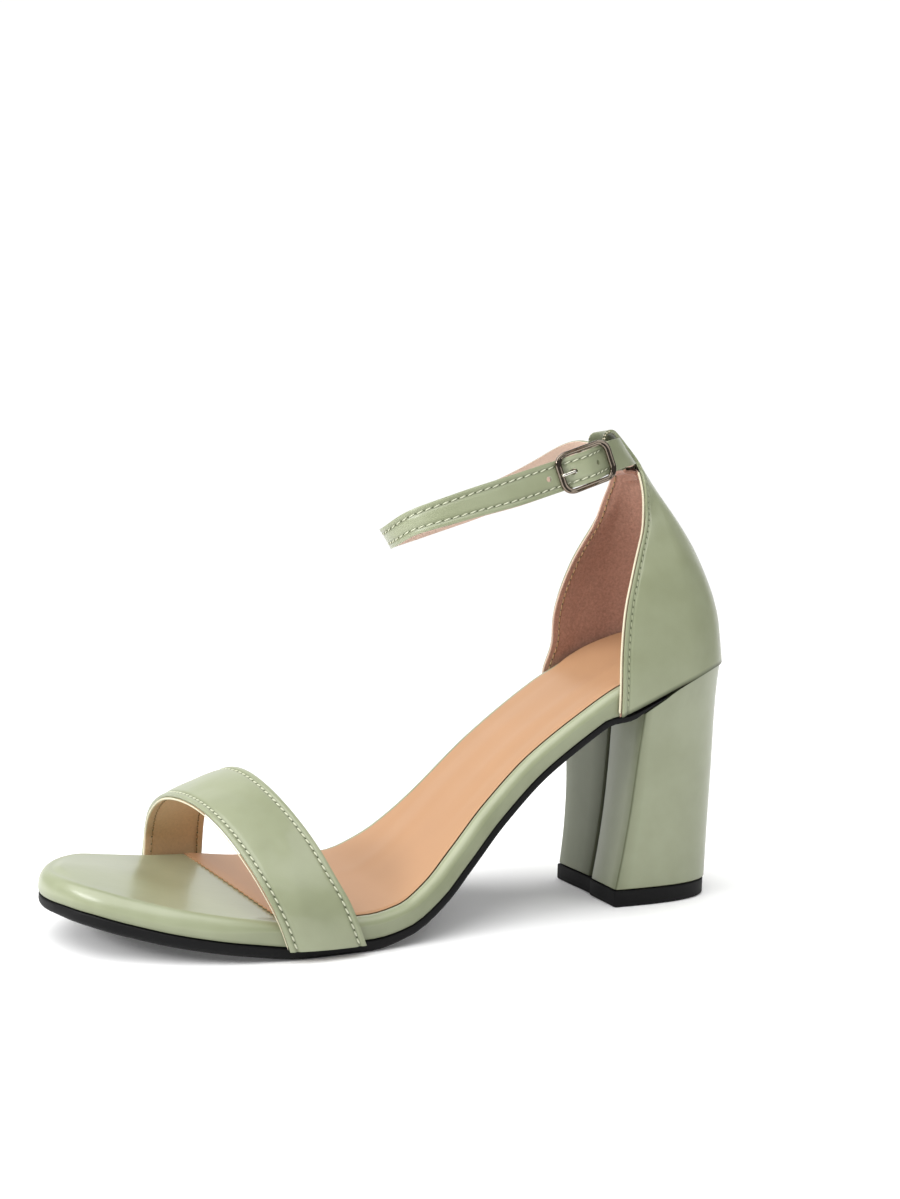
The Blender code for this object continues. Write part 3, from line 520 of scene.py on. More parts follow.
def outsole_outset(x):
    """The rubber's edge: just inside the board, and further out under the wall of the counter."""
    return mix(-0.2, UPPER_OUTSET - SEAM_GAP, smooth_step(x, *OUTSOLE_SPREAD))


def outsole_top(x):
    return board_thickness(x) + SEAM_GAP


def outsole_bottom(x):
    return outsole_top(x) + rubber_thickness(x)


def heel_seat(x):
    """Depth of the heel's top below the footbed, under the end of the outsole."""
    return outsole_bottom(x) + SEAM_GAP * (1.0 - smooth_step(x, OUTSOLE_END, OUTSOLE_END + 4.0))


def seat_height(x):
    """Height of the heel's top at x: the station whose square depth ends there is found in a few steps."""
    station = x
    for step in range(6):
        station += x - sole_place(station, 0.0, heel_seat(station)).x
    return sole_place(station, 0.0, heel_seat(station)).z


def outsole_rows(x):
    """Inset, depth and share of the way to the axis of the outsole's rows, from the tread up."""
    rubber = rubber_thickness(x)
    bottom = outsole_bottom(x)
    top = outsole_top(x)
    closed = board_thickness(x) + CLOSED_SEAM
    return [
        (OUTSOLE_EDGE, bottom, 1.0),
        (OUTSOLE_EDGE, bottom, 0.0),
        (0.35 * OUTSOLE_EDGE, bottom - 0.15 * rubber, 0.0),
        (0.1 * OUTSOLE_EDGE, bottom - 0.3 * rubber, 0.0),
        (0.0, bottom - 0.45 * rubber, 0.0),
        (0.0, top + 0.1 * rubber, 0.0),
        (0.25, top, 0.0),
        (1.1, top, 0.0),
        (1.3, closed, 0.0),
        (1.3, closed, 1.0),
    ]


def platform_rows(x):
    """The same for the platform: its underside, side and rolled rim, then the bed of the sock."""
    board = board_thickness(x)
    across = rim_across(x)
    drop = rim_drop(x)
    recess = insole_recess(x)
    bed = bed_inset(x)
    rows = [(1.0, board, 1.0), (1.0, board, 0.0), (0.3, board - 0.15, 0.0), (0.08, board - 0.5, 0.0)]
    rows += [(0.0, board - 1.0, 0.0), (0.0, mix(board - 1.0, drop, 0.5), 0.0)]
    for degrees in evenly(0.0, 90.0, RIM_STEPS + 1):
        turn = math.radians(degrees)
        rows.append(((1.0 - math.cos(turn)) * across, (1.0 - math.sin(turn)) * drop, 0.0))
    rows += [(bed - 0.15, 0.05 * recess, 0.0), (bed, recess, 0.0)]
    bare = 1.0 - smooth_step(x, *BARE_TOE)
    return rows + [(bed, recess - TOE_CROWN * smooth_step(s, 0.0, 1.0) * bare, s) for s in BED_SHARES]


def sewn_margin(distance, inset):
    """Relief of a folded and sewn edge: a trough at the stitches and a soft bead outside them."""
    return 0.16 * bell(distance - 0.45 * inset, 0.4 * inset) - 0.38 * bell(distance - inset, 0.55)


def stitch_shade(distance, inset):
    """Painted shade in the trough that the stitches pull down."""
    return 0.42 * bell(distance - inset, 0.5)


def surface_normal(at, u, v):
    """Outward normal of a surface, found by small steps."""
    step = 0.002
    du = at(min(u + step, 1.0), v) - at(max(u - step, 0.0), v)
    dv = at(u, min(v + step, 1.0)) - at(u, max(v - step, 0.0))
    return du.cross(dv).normalized()


def toward_edges(share):
    """Even shares drawn closer together at both ends, for the fine relief along the edges."""
    return mix(share, 0.5 - 0.5 * math.cos(math.pi * share), 0.75)


class Creases:
    """Soft troughs (and ridges, where the depth is negative) along lines laid on a surface."""

    def __init__(self, raw, rows):
        self.lines = [(raw(*start), raw(*end), width, depth) for start, end, width, depth in rows]

    def relief(self, p):
        total = 0.0
        for start, end, width, depth in self.lines:
            run = end - start
            share = (p - start).dot(run) / run.length_squared
            off = (p - start - run * min(max(share, 0.0), 1.0)).length
            total -= depth * bell(off, width)
        return total


def vamp_foot(foot):
    """Section of the vamp band from the stations of its edges on the platform's side."""
    front = sole_edge(foot.front_x, foot.side, UPPER_OUTSET)
    rear = sole_edge(foot.rear_x, foot.side, UPPER_OUTSET)
    return VampSection(*sole_place(front.x, front.y, foot.depth), *sole_place(rear.x, rear.y, foot.depth))


class VampSurface:
    """Outer face of the vamp band: u from the lateral foot to the medial one, v from rear to front edge."""

    def __init__(self):
        sections = [vamp_foot(foot) for foot in VAMP_LATERAL_FOOT] + VAMP
        sections += [vamp_foot(foot) for foot in VAMP_MEDIAL_FOOT]
        middles = [[(s[i] + s[i + 3]) / 2.0 for i in range(3)] + list(s) for s in sections]
        self.spline = PointSpline(middles)
        self.creases = Creases(self.smooth_at, VAMP_CREASES)

    def smooth_at(self, u, v):
        row = self.spline.at(u * self.spline.length)
        return Vector(row[6:9]).lerp(Vector(row[3:6]), v)

    def at(self, u, v):
        mark = u * self.spline.length
        row = self.spline.at(mark)
        front = Vector(row[3:6])
        rear = Vector(row[6:9])
        run = Vector(self.spline.at(min(mark + 0.5, self.spline.length))[:3])
        run -= Vector(self.spline.at(max(mark - 0.5, 0.0))[:3])
        out = (rear - front).cross(run).normalized()
        p = rear.lerp(front, v)
        margin = sewn_margin(min(v, 1.0 - v) * (rear - front).length, sizes().stitch_inset / MM)
        return p + out * (4.0 * v * (1.0 - v) * VAMP_CROWN + margin + self.creases.relief(p))


def tab_directions():
    """Upward lean of the tab and the direction to its inner side, in the side view."""
    below, edge = COUNTER[-2:]
    lean = Vector((edge.back_x - below.back_x, edge.back_z - below.back_z)).normalized()
    return lean, Vector((-lean.y, lean.x))


def tab_fold():
    """Levels of the tab where it turns over the strap and hangs down inside as a flap."""
    lean, inward = tab_directions()
    edge = COUNTER[-1]
    radius = WALL + TUNNEL_GAP / 2
    centre = Vector((edge.back_x, edge.back_z)) + lean * TAB_RISE + inward * radius
    path = []
    for step in range(TAB_FOLD_STEPS + 1):
        turn = math.pi * step / TAB_FOLD_STEPS
        path.append(centre - inward * (radius * math.cos(turn)) + lean * (radius * math.sin(turn)))
    flap_top = path[-1]
    path += [flap_top - lean * (TAB_FLAP * share) for share in (0.2, 0.4, 0.6, 0.7)]
    path += [flap_top - lean * (TAB_FLAP * share) - inward * (TUNNEL_GAP - SEAM_GAP) for share in (0.84, 1.0)]
    depth = edge.back_x - edge.front_x
    return [CounterSection(p.x - depth, p.y - 0.3, TAB_HALF, p.x, p.y, 1.0) for p in path]


class CounterSurface:
    """Outer face of the counter: u from the lateral front edge round to the medial one, v upwards."""

    def __init__(self):
        self.levels = COUNTER + tab_fold()
        self.columns = {}
        self.last_row = len(self.levels) + 1
        self.creases = Creases(self.smooth_at, COUNTER_CREASES)
        marks = evenly(0.0, 1.0, 61)
        self.reach = []
        for edge, inner in ((0.0, 0.01), (1.0, 0.99)):
            spans = [(self.smooth_at(inner, v) - self.smooth_at(edge, v)).length / 0.01 for v in marks]
            self.reach.append(smooth_through(marks, spans))

    def base(self, u):
        """Plan point of the counter's foot, and its share of the way from the front edge to the back."""
        side = -1 if u <= 0.5 else 1
        turn = 2.0 * u if u <= 0.5 else 2.0 - 2.0 * u
        front = COUNTER_FRONT + (COUNTER_MEDIAL_SETBACK if side > 0 else 0.0)
        p = sole_edge(mix(front, SOLE_LENGTH, math.sin(0.5 * math.pi * turn)), side, UPPER_OUTSET)
        start = sole_edge(COUNTER_FRONT, -1, UPPER_OUTSET).x
        back = SOLE_LENGTH + UPPER_OUTSET
        return p, (p.x - start) / (back - start)

    def column(self, u):
        if u in self.columns:
            return self.columns[u]
        p, share = self.base(u)
        corner = sole_edge(COUNTER_FRONT, -1, UPPER_OUTSET)
        medial_half = sole_edge(COUNTER_FRONT + COUNTER_MEDIAL_SETBACK, 1, UPPER_OUTSET).y
        round_y = p.y / (-corner.y if p.y < 0 else medial_half)
        sag = footbed(p.x) - mix(footbed(corner.x), footbed(SOLE_LENGTH), share)
        points = []
        for whole in (1.0, 0.0):
            depth = whole * board_thickness(p.x)
            square = sole_place(p.x, p.y, depth)
            upright = Vector((p.x, p.y, footbed(p.x) - depth))
            points.append(upright.lerp(square, share))
        arc = 2.0 * u - 1.0
        for level, section in enumerate(self.levels):
            bed_follow = max(0.0, 1.0 - level / 4)
            forward = mix(share, 1.0 - arc * arc, section.flat)
            setback = COUNTER_MEDIAL_SETBACK * bed_follow if arc > 0 else 0.0
            x = mix(section.front_x + setback, section.back_x, forward)
            y = section.half * mix(round_y, arc, section.flat)
            z = mix(section.front_z, section.back_z, forward) + sag * bed_follow
            points.append(Vector((x, y, z)))
        self.columns[u] = PointSpline(points)
        return self.columns[u]

    def from_edge(self, u, v):
        """Distance over the surface to the nearer front edge."""
        return min(u, 1.0 - u) * self.reach[0 if u < 0.5 else 1](v)

    def sewn(self, v):
        """1 where the front margins are sewn, 0 on the tab."""
        return 1.0 - smooth_step(v * self.last_row, len(COUNTER) - 1.0, len(COUNTER) + 0.5)

    def at(self, u, v):
        """Surface with its sewn front margins, which end below the tab, and its creases."""
        p = self.smooth_at(u, v)
        normal = surface_normal(self.smooth_at, u, v)
        margin = self.sewn(v) * sewn_margin(self.from_edge(u, v), sizes().stitch_inset / MM)
        return p + normal * (margin + self.sewn(v) * self.creases.relief(p))

    def smooth_at(self, u, v):
        """v runs evenly by level, so that the rows of all columns stay in step."""
        spline = self.column(round(u, 6))
        place = v * (len(spline.marks) - 1)
        i = min(int(place), len(spline.marks) - 2)
        return Vector(spline.at(mix(spline.marks[i], spline.marks[i + 1], place - i)))


def tunnel_rows():
    """The strap's middle line where it passes between the tab and its flap."""
    lean, inward = tab_directions()
    edge = COUNTER[-1]
    inside = WALL + TUNNEL_MIDDLE * TUNNEL_GAP
    middle = Vector((edge.back_x, edge.back_z)) - lean * TUNNEL_DROP + inward * inside
    rows = []
    for y in (-edge.half, 0.0, edge.half):
        forward = (edge.back_x - edge.front_x) * (y / edge.half) ** 2
        rows.append(LoopSection(middle.x - forward, y, middle.y, lean.x / lean.y, 0.0, STRAP_WIDTH))
    return rows


class StrapSurface:
    """The ankle strap's band, by the distance from the buckle along its loop."""

    def __init__(self):
        rows = LOOP_TO_TAB + tunnel_rows() + LOOP_FROM_TAB
        ring = rows[-4:] + rows + rows[:5]
        self.spline = PointSpline(ring)
        self.start = self.spline.marks[4]
        self.length = self.spline.marks[4 + len(rows)] - self.start
        self.lift = self.lifts()

    def frame(self, distance):
        """Place, run, upward edge, outward face and width of the strap."""
        mark = self.start + distance % self.length
        row = self.spline.at(mark)
        run = Vector((self.spline.at(mark + 0.5) - self.spline.at(mark - 0.5))[:3]).normalized()
        up = Vector((row[3], row[4], 1.0))
        up = (up - run * up.dot(run)).normalized()
        return Vector(row[:3]), run, up, run.cross(up), row[5]

    def lifts(self):
        """How far the strap stands off its loop: the tail climbs through the frame and over the bar."""
        under = STRAP_THICKNESS + SEAM_GAP
        bar_top = FRAME_STAND - BAR_DROP + BAR_RADIUS + 2 * SEAM_GAP + 1.5 * STRAP_THICKNESS
        half = FRAME_LENGTH / 2
        length = self.length
        foot, tip = prong_ends()
        prong_lift = FRAME_STAND + foot.lerp(tip, PRONG_HOLE_SHARE * half / -tip.x).z
        rows = [
            (0.0, 0.5),
            (half, 0.0),
            (length - 3.0 * half, 0.0),
            (length - half + WIRE_PASS, under),
            (length - PRONG_HOLE_SHARE * half, prong_lift),
            (length, bar_top),
            (length + half - WIRE_PASS, under),
            (length + half + TAIL_TIP, under),
        ]
        return smooth_through(*zip(*rows))

    def band(self, distance):
        """Middle, upward edge, outer face and width of the raised band."""
        place, run, up, out, width = self.frame(distance)
        slope = math.atan(self.lift(distance + 0.5) - self.lift(distance - 0.5))
        face = out * math.cos(slope) - run * math.sin(slope)
        return place + out * self.lift(distance), up, face, width

    def end(self):
        return self.length + FRAME_LENGTH / 2 + TAIL_TIP


def prong_ends():
    """The prong's shaft in the frame's own axes, from above the bar to just past the front bar."""
    foot = Vector((0.0, 0.0, -BAR_DROP + BAR_RADIUS + SEAM_GAP + PRONG_RADIUS))
    tip = Vector((-FRAME_LENGTH / 2 - 0.9, 0.0, FRAME_WIRE + SEAM_GAP + PRONG_RADIUS))
    return foot, tip


def buckle_matrix(strap):
    """The frame's own axes: x back along the strap, y up across it, z out of it."""
    place, run, up, out, width = strap.frame(0.0)
    return Matrix.Translation(place + out * FRAME_STAND) @ Matrix((run, up, out)).transposed().to_4x4()


# Modelling steps

def lay_grid(name, across, along, place, shade=None):
    """Grid whose points are laid on a surface: u along the grid's x, v along its y.

    shade gives each point an amount of painted shade, for shadow in seams, gaps, troughs and folds, which the
    coating reads.
    """
    bpy.ops.object.select_all(action="DESELECT")
    bpy.ops.mesh.primitive_grid_add(x_subdivisions=across, y_subdivisions=along, size=2.0)
    piece = bpy.context.object
    piece.name = name
    piece.data.name = name
    values = []
    for vertex in piece.data.vertices:
        u = (vertex.co.x + 1.0) / 2.0
        v = (vertex.co.y + 1.0) / 2.0
        vertex.co = (place(u, v) - ORIGIN) * MM
        if shade:
            values.append(shade(u, v))
    if shade:
        # Painted shade per point, which the coating turns into a darker, duller colour
        seam = piece.data.attributes.new("seam_shade", "FLOAT", "POINT")
        seam.data.foreach_set("value", values)
    return piece


def take(piece):
    bpy.ops.object.select_all(action="DESELECT")
    piece.select_set(True)
    bpy.context.view_layer.objects.active = piece


def close_seams(piece):
    """Merge the points that meet along seams and poles, and turn all faces outwards."""
    take(piece)
    bpy.ops.object.mode_set(mode="EDIT")
    bpy.ops.mesh.select_all(action="SELECT")
    bpy.ops.mesh.remove_doubles(threshold=0.000004)
    bpy.ops.mesh.normals_make_consistent(inside=False)
    bpy.ops.object.mode_set(mode="OBJECT")


def modify(piece, kind, **settings):
    """Add a modifier with its settings and apply it."""
    take(piece)
    modifier = piece.modifiers.new(kind.title(), kind)
    for name, value in settings.items():
        setattr(modifier, name, value)
    bpy.ops.object.modifier_apply(modifier=modifier.name)


def smooth(piece, degrees):
    take(piece)
    bpy.ops.object.shade_smooth_by_angle(angle=math.radians(degrees))


def hand_over(piece, slot, finishes, *nodes):
    """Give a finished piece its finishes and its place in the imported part."""
    for name in finishes:
        piece.data.materials.append(finish(name))
    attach(piece, "root")
    if nodes:
        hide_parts(*nodes)


def rounded_layer(piece, thickness, edge):
    """Thickness of a sewn layer, inwards from its outer face, with softened edges."""
    modify(piece, "SOLIDIFY", thickness=thickness, offset=-1.0, material_offset_rim=1)
    limit = math.radians(LAYER_ANGLE)
    modify(piece, "BEVEL", width=edge, segments=2, limit_method="ANGLE", angle_limit=limit)
    smooth(piece, LAYER_ANGLE)


def lining_layer(piece, thickness):
    """Thickness of a lining, inwards, with its own pale cut edge."""
    modify(piece, "SOLIDIFY", thickness=thickness, offset=-1.0, material_offset_rim=1)
    smooth(piece, LAYER_ANGLE)


def lay_rings(name, columns, rows, place, shade=None):
    """Closed skin whose place and shade are given by the numbers of a point's column and row."""
    def by_number(given):
        return lambda u, v: given(round(u * columns), round(v * rows))

    piece = lay_grid(name, columns, rows, by_number(place), by_number(shade) if shade else None)
    close_seams(piece)
    smooth(piece, SHELL_ANGLE)
    return piece


def sole_layer(name, rows_at, outset, end, shade=None):
    """Layer of the sole from its rows at each station, bottom first.

    shade gives the painted shade from the station and the row's number.
    """
    xs = round_stations(end)
    ring = [(x, -1) for x in xs] + [(x, 1) for x in reversed(xs)]
    last_axis = end - AXIS_MARGIN if end >= SOLE_LENGTH else end

    def place(i, k):
        x, side = ring[i]
        inset, depth, inwards = rows_at(x)[k]
        axis = Vector((min(max(x, AXIS_MARGIN), last_axis), 0.0))
        p = sole_edge(x, side, outset(x) - inset).lerp(axis, inwards)
        return sole_place(p.x, p.y, rows_at(p.x)[k][1])

    def seam(i, k):
        return shade(ring[i][0], k)

    return lay_rings(name, len(ring) - 1, len(rows_at(0.0)) - 1, place, seam if shade else None)


def tube(name, points, radii, sides, level, closed=False, roundness=1.0, spread=None, groove=0.0):
    """Bar along points, with its own radius at each, its section square to a level direction.

    Less roundness gives a squarer section, spread widens it level at each point, and groove is the share
    of the radius that a line along its outer face is sunk by.
    """
    count = len(points)

    def place(u, v):
        i = round(v * (count if closed else count - 1)) % count
        before = points[i - 1] if closed or i > 0 else points[0]
        after = points[(i + 1) % count] if closed or i < count - 1 else points[-1]
        run = (after - before).normalized()
        across = level.cross(run).normalized()
        other = run.cross(across)
        turn = 2.0 * math.pi * u
        wide = math.copysign(abs(math.cos(turn)) ** roundness, math.cos(turn))
        high = math.copysign(abs(math.sin(turn)) ** roundness, math.sin(turn))
        high *= 1.0 - groove * bell(turn - 0.5 * math.pi, 0.4)
        return points[i] + (across * (wide * (spread[i] if spread else 1.0)) + other * high) * radii[i]

    piece = lay_grid(name, sides, count if closed else count - 1, place)
    close_seams(piece)
    smooth(piece, TUBE_ANGLE)
    return piece


def bind(name, points, radii, edge_finish):
    """Rolled binding along an edge of the upper, with its ends closed."""
    radii[0] = 0.0
    radii[-1] = 0.0
    piece = tube(name, points, radii, 10, Vector((0.35, 0.25, 0.9)).normalized())
    hand_over(piece, "upper", [edge_finish])


def set_of(name, template, matrices):
    """One piece that holds a copy of the template's mesh at each place."""
    source = template.data
    corners = [v.co.copy() for v in source.vertices]
    # Sorted, because Blender lists a sphere's faces in another order each time
    faces = sorted(tuple(p.vertices) for p in source.polygons)
    points = []
    polygons = []
    for k, matrix in enumerate(matrices):
        points += [matrix @ co for co in corners]
        polygons += [tuple(k * len(corners) + i for i in face) for face in faces]
    mesh = bpy.data.meshes.new(name)
    mesh.from_pydata(points, [], polygons)
    mesh.shade_smooth()
    piece = bpy.data.objects.new(name, mesh)
    bpy.context.scene.collection.objects.link(piece)
    return piece


def frame_at(point, along, normal):
    """Matrix with x along a stitch and z out of the surface, at a point in the last's millimetres."""
    side = normal.cross(along).normalized()
    turned = Matrix((along, side, normal)).transposed().to_4x4()
    return Matrix.Translation((point - ORIGIN) * MM) @ turned


def stitch_places(trace, pitch):
    """Even places along a traced row of (point, normal) pairs, as matrices for the stitches."""
    marks = [0.0]
    for before, after in zip(trace, trace[1:]):
        marks.append(marks[-1] + (after[0] - before[0]).length)
    places = []
    i = 0
    for k in range(int(marks[-1] / pitch)):
        mark = (k + 0.5) * pitch
        while i < len(marks) - 2 and marks[i + 1] < mark:
            i += 1
        share = (mark - marks[i]) / max(marks[i + 1] - marks[i], 1e-6)
        point = trace[i][0].lerp(trace[i + 1][0], share)
        normal = trace[i][1].lerp(trace[i + 1][1], share).normalized()
        along = (trace[i + 1][0] - trace[i][0]).normalized()
        along = (along - normal * along.dot(normal)).normalized()
        places.append(frame_at(point, along, normal))
    return places


def sewn_rows(surface, lines, through):
    """Stitch rows along lines of (u, v) pairs: on the face, and through the layers on the lining."""
    outside = []
    for line in lines:
        outside.append([(surface.at(u, v), surface_normal(surface.at, u, v)) for u, v in line])
    inside = [[(point - normal * through, -normal) for point, normal in row] for row in outside]
    return outside, inside


def sew(name, rows, pitch, thread_finish, fineness=1.0):
    """Stitches and their needle holes along traced rows, each stitch slanted as a lockstitch is."""
    thread = fineness * sizes().thread
    places = [matrix for row in rows for matrix in stitch_places(row, pitch / MM)]
    bpy.ops.object.select_all(action="DESELECT")
    bpy.ops.mesh.primitive_uv_sphere_add(segments=8, ring_count=6, radius=1.0)
    stitch = bpy.context.object
    for vertex in stitch.data.vertices:
        x, y, z = vertex.co
        vertex.co = (x * STITCH_HALF * pitch, y * 0.55 * thread, z * 0.5 * thread + 0.15 * thread)
    slant = Matrix.Rotation(math.radians(STITCH_SLANT), 4, "Z")
    threads = set_of(name, stitch, [matrix @ slant for matrix in places])
    for vertex in stitch.data.vertices:
        x = vertex.co.x / (STITCH_HALF * pitch) * 0.55 * thread
        vertex.co = (x, vertex.co.y, vertex.co.z * 0.4)
    ends = [matrix @ Matrix.Translation((0.5 * pitch, 0.0, 0.0)) for matrix in places]
    holes = set_of(name + "_needle_holes", stitch, ends)
    bpy.data.objects.remove(stitch, do_unlink=True)
    hand_over(threads, "upper", [thread_finish])
    hand_over(holes, "upper", ["needle_hole"])


# Finishes

def wire(tree, node, **inputs):
    """Set or link a node's inputs by name, with _ for a space, or by number, i0 being the first."""
    for name, value in inputs.items():
        numbered = name[0] == "i" and name[1:].isdigit()
        socket = node.inputs[int(name[1:]) if numbered else name.replace("_", " ")]
        if isinstance(value, bpy.types.NodeSocket):
            tree.links.new(value, socket)
        else:
            socket.default_value = value


def add_node(tree, kind, settings=None, **inputs):
    """Add a node with its properties and its inputs."""
    node = tree.nodes.new(kind)
    for name, value in (settings or {}).items():
        setattr(node, name, value)
    wire(tree, node, **inputs)
    return node


def toned(colour, share=1.0):
    """A finish's colour, made darker or lighter, as a shader takes it."""
    return (*(Vector(colour) * share), 1.0)


def new_material(name):
    """Node tree and shader of a new material."""
    made = bpy.data.materials.new(name)
    made.use_nodes = True
    return made.node_tree, made.node_tree.nodes["Principled BSDF"]


Mottle = namedtuple("Mottle", "tree shader place noise colour")


def mottled(name, dark, light, size, detail, fuzz=0.5, spread=None):
    """Material whose colour runs between two tones, in a noise of a real size in metres.

    fuzz is the noise's own roughness, and spread the part of its range that goes from dark to light.
    """
    tree, shader = new_material(name)
    place = add_node(tree, "ShaderNodeTexCoord").outputs["Object"]
    noise = add_node(tree, "ShaderNodeTexNoise", Vector=place, Scale=1.0 / size, Detail=detail,
                     Roughness=fuzz).outputs["Fac"]
    tone = noise
    if spread:
        tone = add_node(tree, "ShaderNodeMapRange", Value=noise, From_Min=spread[0],
                        From_Max=spread[1]).outputs["Result"]
    colour = add_node(tree, "ShaderNodeMix", {"data_type": "RGBA"}, i0=tone, i6=dark, i7=light).outputs[2]
    wire(tree, shader, Base_Color=colour)
    return Mottle(tree, shader, place, noise, colour)


def sage_coating(name):
    """Polyurethane coating on a woven base, pressed with a fine calf grain: satin, with broad soft lights."""
    # Cloudy tone about 18 mm across, as in a dyed coating
    tree, shader, place, cloud, colour = mottled(
        name, toned(colours().sage_shade), toned(colours().sage), 0.018, 3.0, 0.55, (0.35, 0.65))
    # Painted shade: where the point attribute is high, the coating darkens and its coat and specular dull,
    # standing in for shadow in seams, gaps, troughs and folds
    seam = add_node(tree, "ShaderNodeAttribute", {"attribute_name": "seam_shade"}).outputs["Fac"]
    shaded = add_node(tree, "ShaderNodeMix", {"data_type": "RGBA"}, i0=seam, i6=colour,
                      i7=toned(colours().sage_shade, 0.12))
    wire(tree, shader, Base_Color=shaded.outputs[2], IOR=1.5, Coat_Roughness=0.18)
    for level, most in (("Coat_Weight", 0.36), ("Specular_IOR_Level", 0.5)):
        dull = add_node(tree, "ShaderNodeMapRange", Value=seam, From_Max=0.6, To_Min=most, To_Max=0.15 * most)
        # The socket's own value holds where a link is dropped, as an export may do
        wire(tree, shader, **{level: most})
        wire(tree, shader, **{level: dull.outputs["Result"]})
    # Grain cells of 0.7 mm, drawn a little coarser than the real 0.4 mm so that they show
    grain = add_node(tree, "ShaderNodeTexVoronoi", {"feature": "SMOOTH_F1"}, Vector=place, Scale=1.0 / 0.0007,
                     Smoothness=0.6)
    wave = add_node(tree, "ShaderNodeTexNoise", Vector=place, Scale=1.0 / 0.006, Detail=2.0)
    fine = add_node(tree, "ShaderNodeBump", Strength=0.22, Distance=0.00006, Height=grain.outputs["Distance"])
    bump = add_node(tree, "ShaderNodeBump", Strength=0.18, Distance=0.0004, Height=wave.outputs["Fac"],
                    Normal=fine.outputs["Normal"])
    gloss = add_node(tree, "ShaderNodeMapRange", Value=cloud, To_Min=0.32, To_Max=0.42)
    wire(tree, shader, Normal=bump.outputs["Normal"], Roughness=gloss.outputs["Result"])


def sock_leather(name):
    """Smooth peach sock leather: almost matte, with faint pressed pores of 0.6 mm."""
    base = colours().sock
    made = mottled(name, toned(base, 0.93), toned(base, 1.06), 0.022, 4.0)
    pores = add_node(made.tree, "ShaderNodeTexNoise", Vector=made.place, Scale=1.0 / 0.0006, Detail=2.0)
    bump = add_node(made.tree, "ShaderNodeBump", Strength=0.12, Distance=0.00005, Height=pores.outputs["Fac"])
    wire(made.tree, made.shader, Normal=bump.outputs["Normal"], Roughness=0.44, Specular_IOR_Level=0.25)


def brushed_lining(name, base, mottle, sheen):
    """Brushed microfibre lining: a short nap that scatters light, no gloss.

    Its tufts are drawn 0.9 mm across, coarser than the real 0.5 mm, so that they show.
    """
    tones = (toned(base, 1.0 - mottle), toned(base, 1.0 + mottle))
    made = mottled(name, *tones, 0.0009, 4.0, 0.7, (0.3, 0.7))
    bump = add_node(made.tree, "ShaderNodeBump", Strength=0.5, Distance=0.0002, Height=made.noise)
    wire(made.tree, made.shader, Normal=bump.outputs["Normal"], Roughness=0.85, Specular_IOR_Level=0.25,
         Sheen_Weight=sheen, Sheen_Roughness=0.5)


def cut_edge(name):
    """Bare cut edge of a lining: pale fibres 0.5 mm apart, dry and matte."""
    base = colours().edge
    made = mottled(name, toned(base, 0.85), toned(base, 1.05), 0.0005, 2.0)
    wire(made.tree, made.shader, Roughness=0.8)


def sewing_thread(name, base):
    """Twisted polyester thread: fine plies about 0.4 mm apart, a little sheen."""
    made = mottled(name, toned(base, 0.9), toned(base, 1.08), 0.0004, 1.0)
    wire(made.tree, made.shader, Roughness=0.6)


def needle_hole(name):
    """Shaded pit where the needle went through the coating."""
    base = colours().needle_hole
    made = mottled(name, toned(base, 0.7), toned(base, 1.3), 0.0008, 2.0)
    wire(made.tree, made.shader, Roughness=0.9, Specular_IOR_Level=0.1)


def black_rubber(name):
    """Moulded rubber: near black, fine moulding grit, dull shine on its edges, ribbed underneath."""
    base = colours().rubber
    made = mottled(name, toned(base, 0.7), toned(base, 1.4), 0.0007, 3.0)
    tree = made.tree
    fine = add_node(tree, "ShaderNodeBump", Strength=0.35, Distance=0.0001, Height=made.noise)
    # Wavy ribs of the tread, 2.4 mm apart, only on faces that look down
    ribs = add_node(tree, "ShaderNodeTexWave", {"bands_direction": "X"}, Vector=made.place,
                    Scale=math.pi / (10.0 * 0.0024), Distortion=1.2, Detail=0.0, Detail_Scale=0.4)
    facing = add_node(tree, "ShaderNodeNewGeometry").outputs["Normal"]
    height = add_node(tree, "ShaderNodeSeparateXYZ", Vector=facing).outputs["Z"]
    under = add_node(tree, "ShaderNodeMapRange", Value=height, From_Min=-0.55, From_Max=-0.8)
    tread = add_node(tree, "ShaderNodeMath", {"operation": "MULTIPLY"}, i0=ribs.outputs["Fac"],
                     i1=under.outputs["Result"])
    bump = add_node(tree, "ShaderNodeBump", Strength=0.8, Distance=0.0005, Height=tread.outputs["Value"],
                    Normal=fine.outputs["Normal"])
    wire(tree, made.shader, Normal=bump.outputs["Normal"], Roughness=0.6, Specular_IOR_Level=0.2)


def plated_metal(name, base):
    """Zinc casting, plated and polished: mirror-like, with faint polishing haze about 3 mm across."""
    made = mottled(name, toned(base, 0.9), toned(base, 1.1), 0.003, 3.0)
    rough = add_node(made.tree, "ShaderNodeMapRange", Value=made.noise, To_Min=0.06, To_Max=0.12)
    wire(made.tree, made.shader, Roughness=rough.outputs["Result"], Metallic=1.0)


FINISHES = {
    "sage_coating": sage_coating,
    "sock_leather": sock_leather,
    "counter_lining": lambda name: brushed_lining(name, colours().suede, 0.24, 0.25),
    "vamp_lining": lambda name: brushed_lining(name, colours().vamp_lining, 0.08, 0.1),
    "strap_lining": lambda name: brushed_lining(name, colours().strap_lining, 0.06, 0.1),
    "cut_edge": cut_edge,
    "thread": lambda name: sewing_thread(name, colours().thread),
    "dark_thread": lambda name: sewing_thread(name, colours().dark_thread),
    "lining_thread": lambda name: sewing_thread(name, colours().lining_thread),
    "needle_hole": needle_hole,
    "black_rubber": black_rubber,
    "gunmetal": lambda name: plated_metal(name, colours().gunmetal),
    "nickel": lambda name: plated_metal(name, colours().nickel),
}


def finish(name):
    """Material of a finish, made the first time that a piece asks for it."""
    if name not in bpy.data.materials:
        FINISHES[name](name)
    return bpy.data.materials[name]


# Pieces

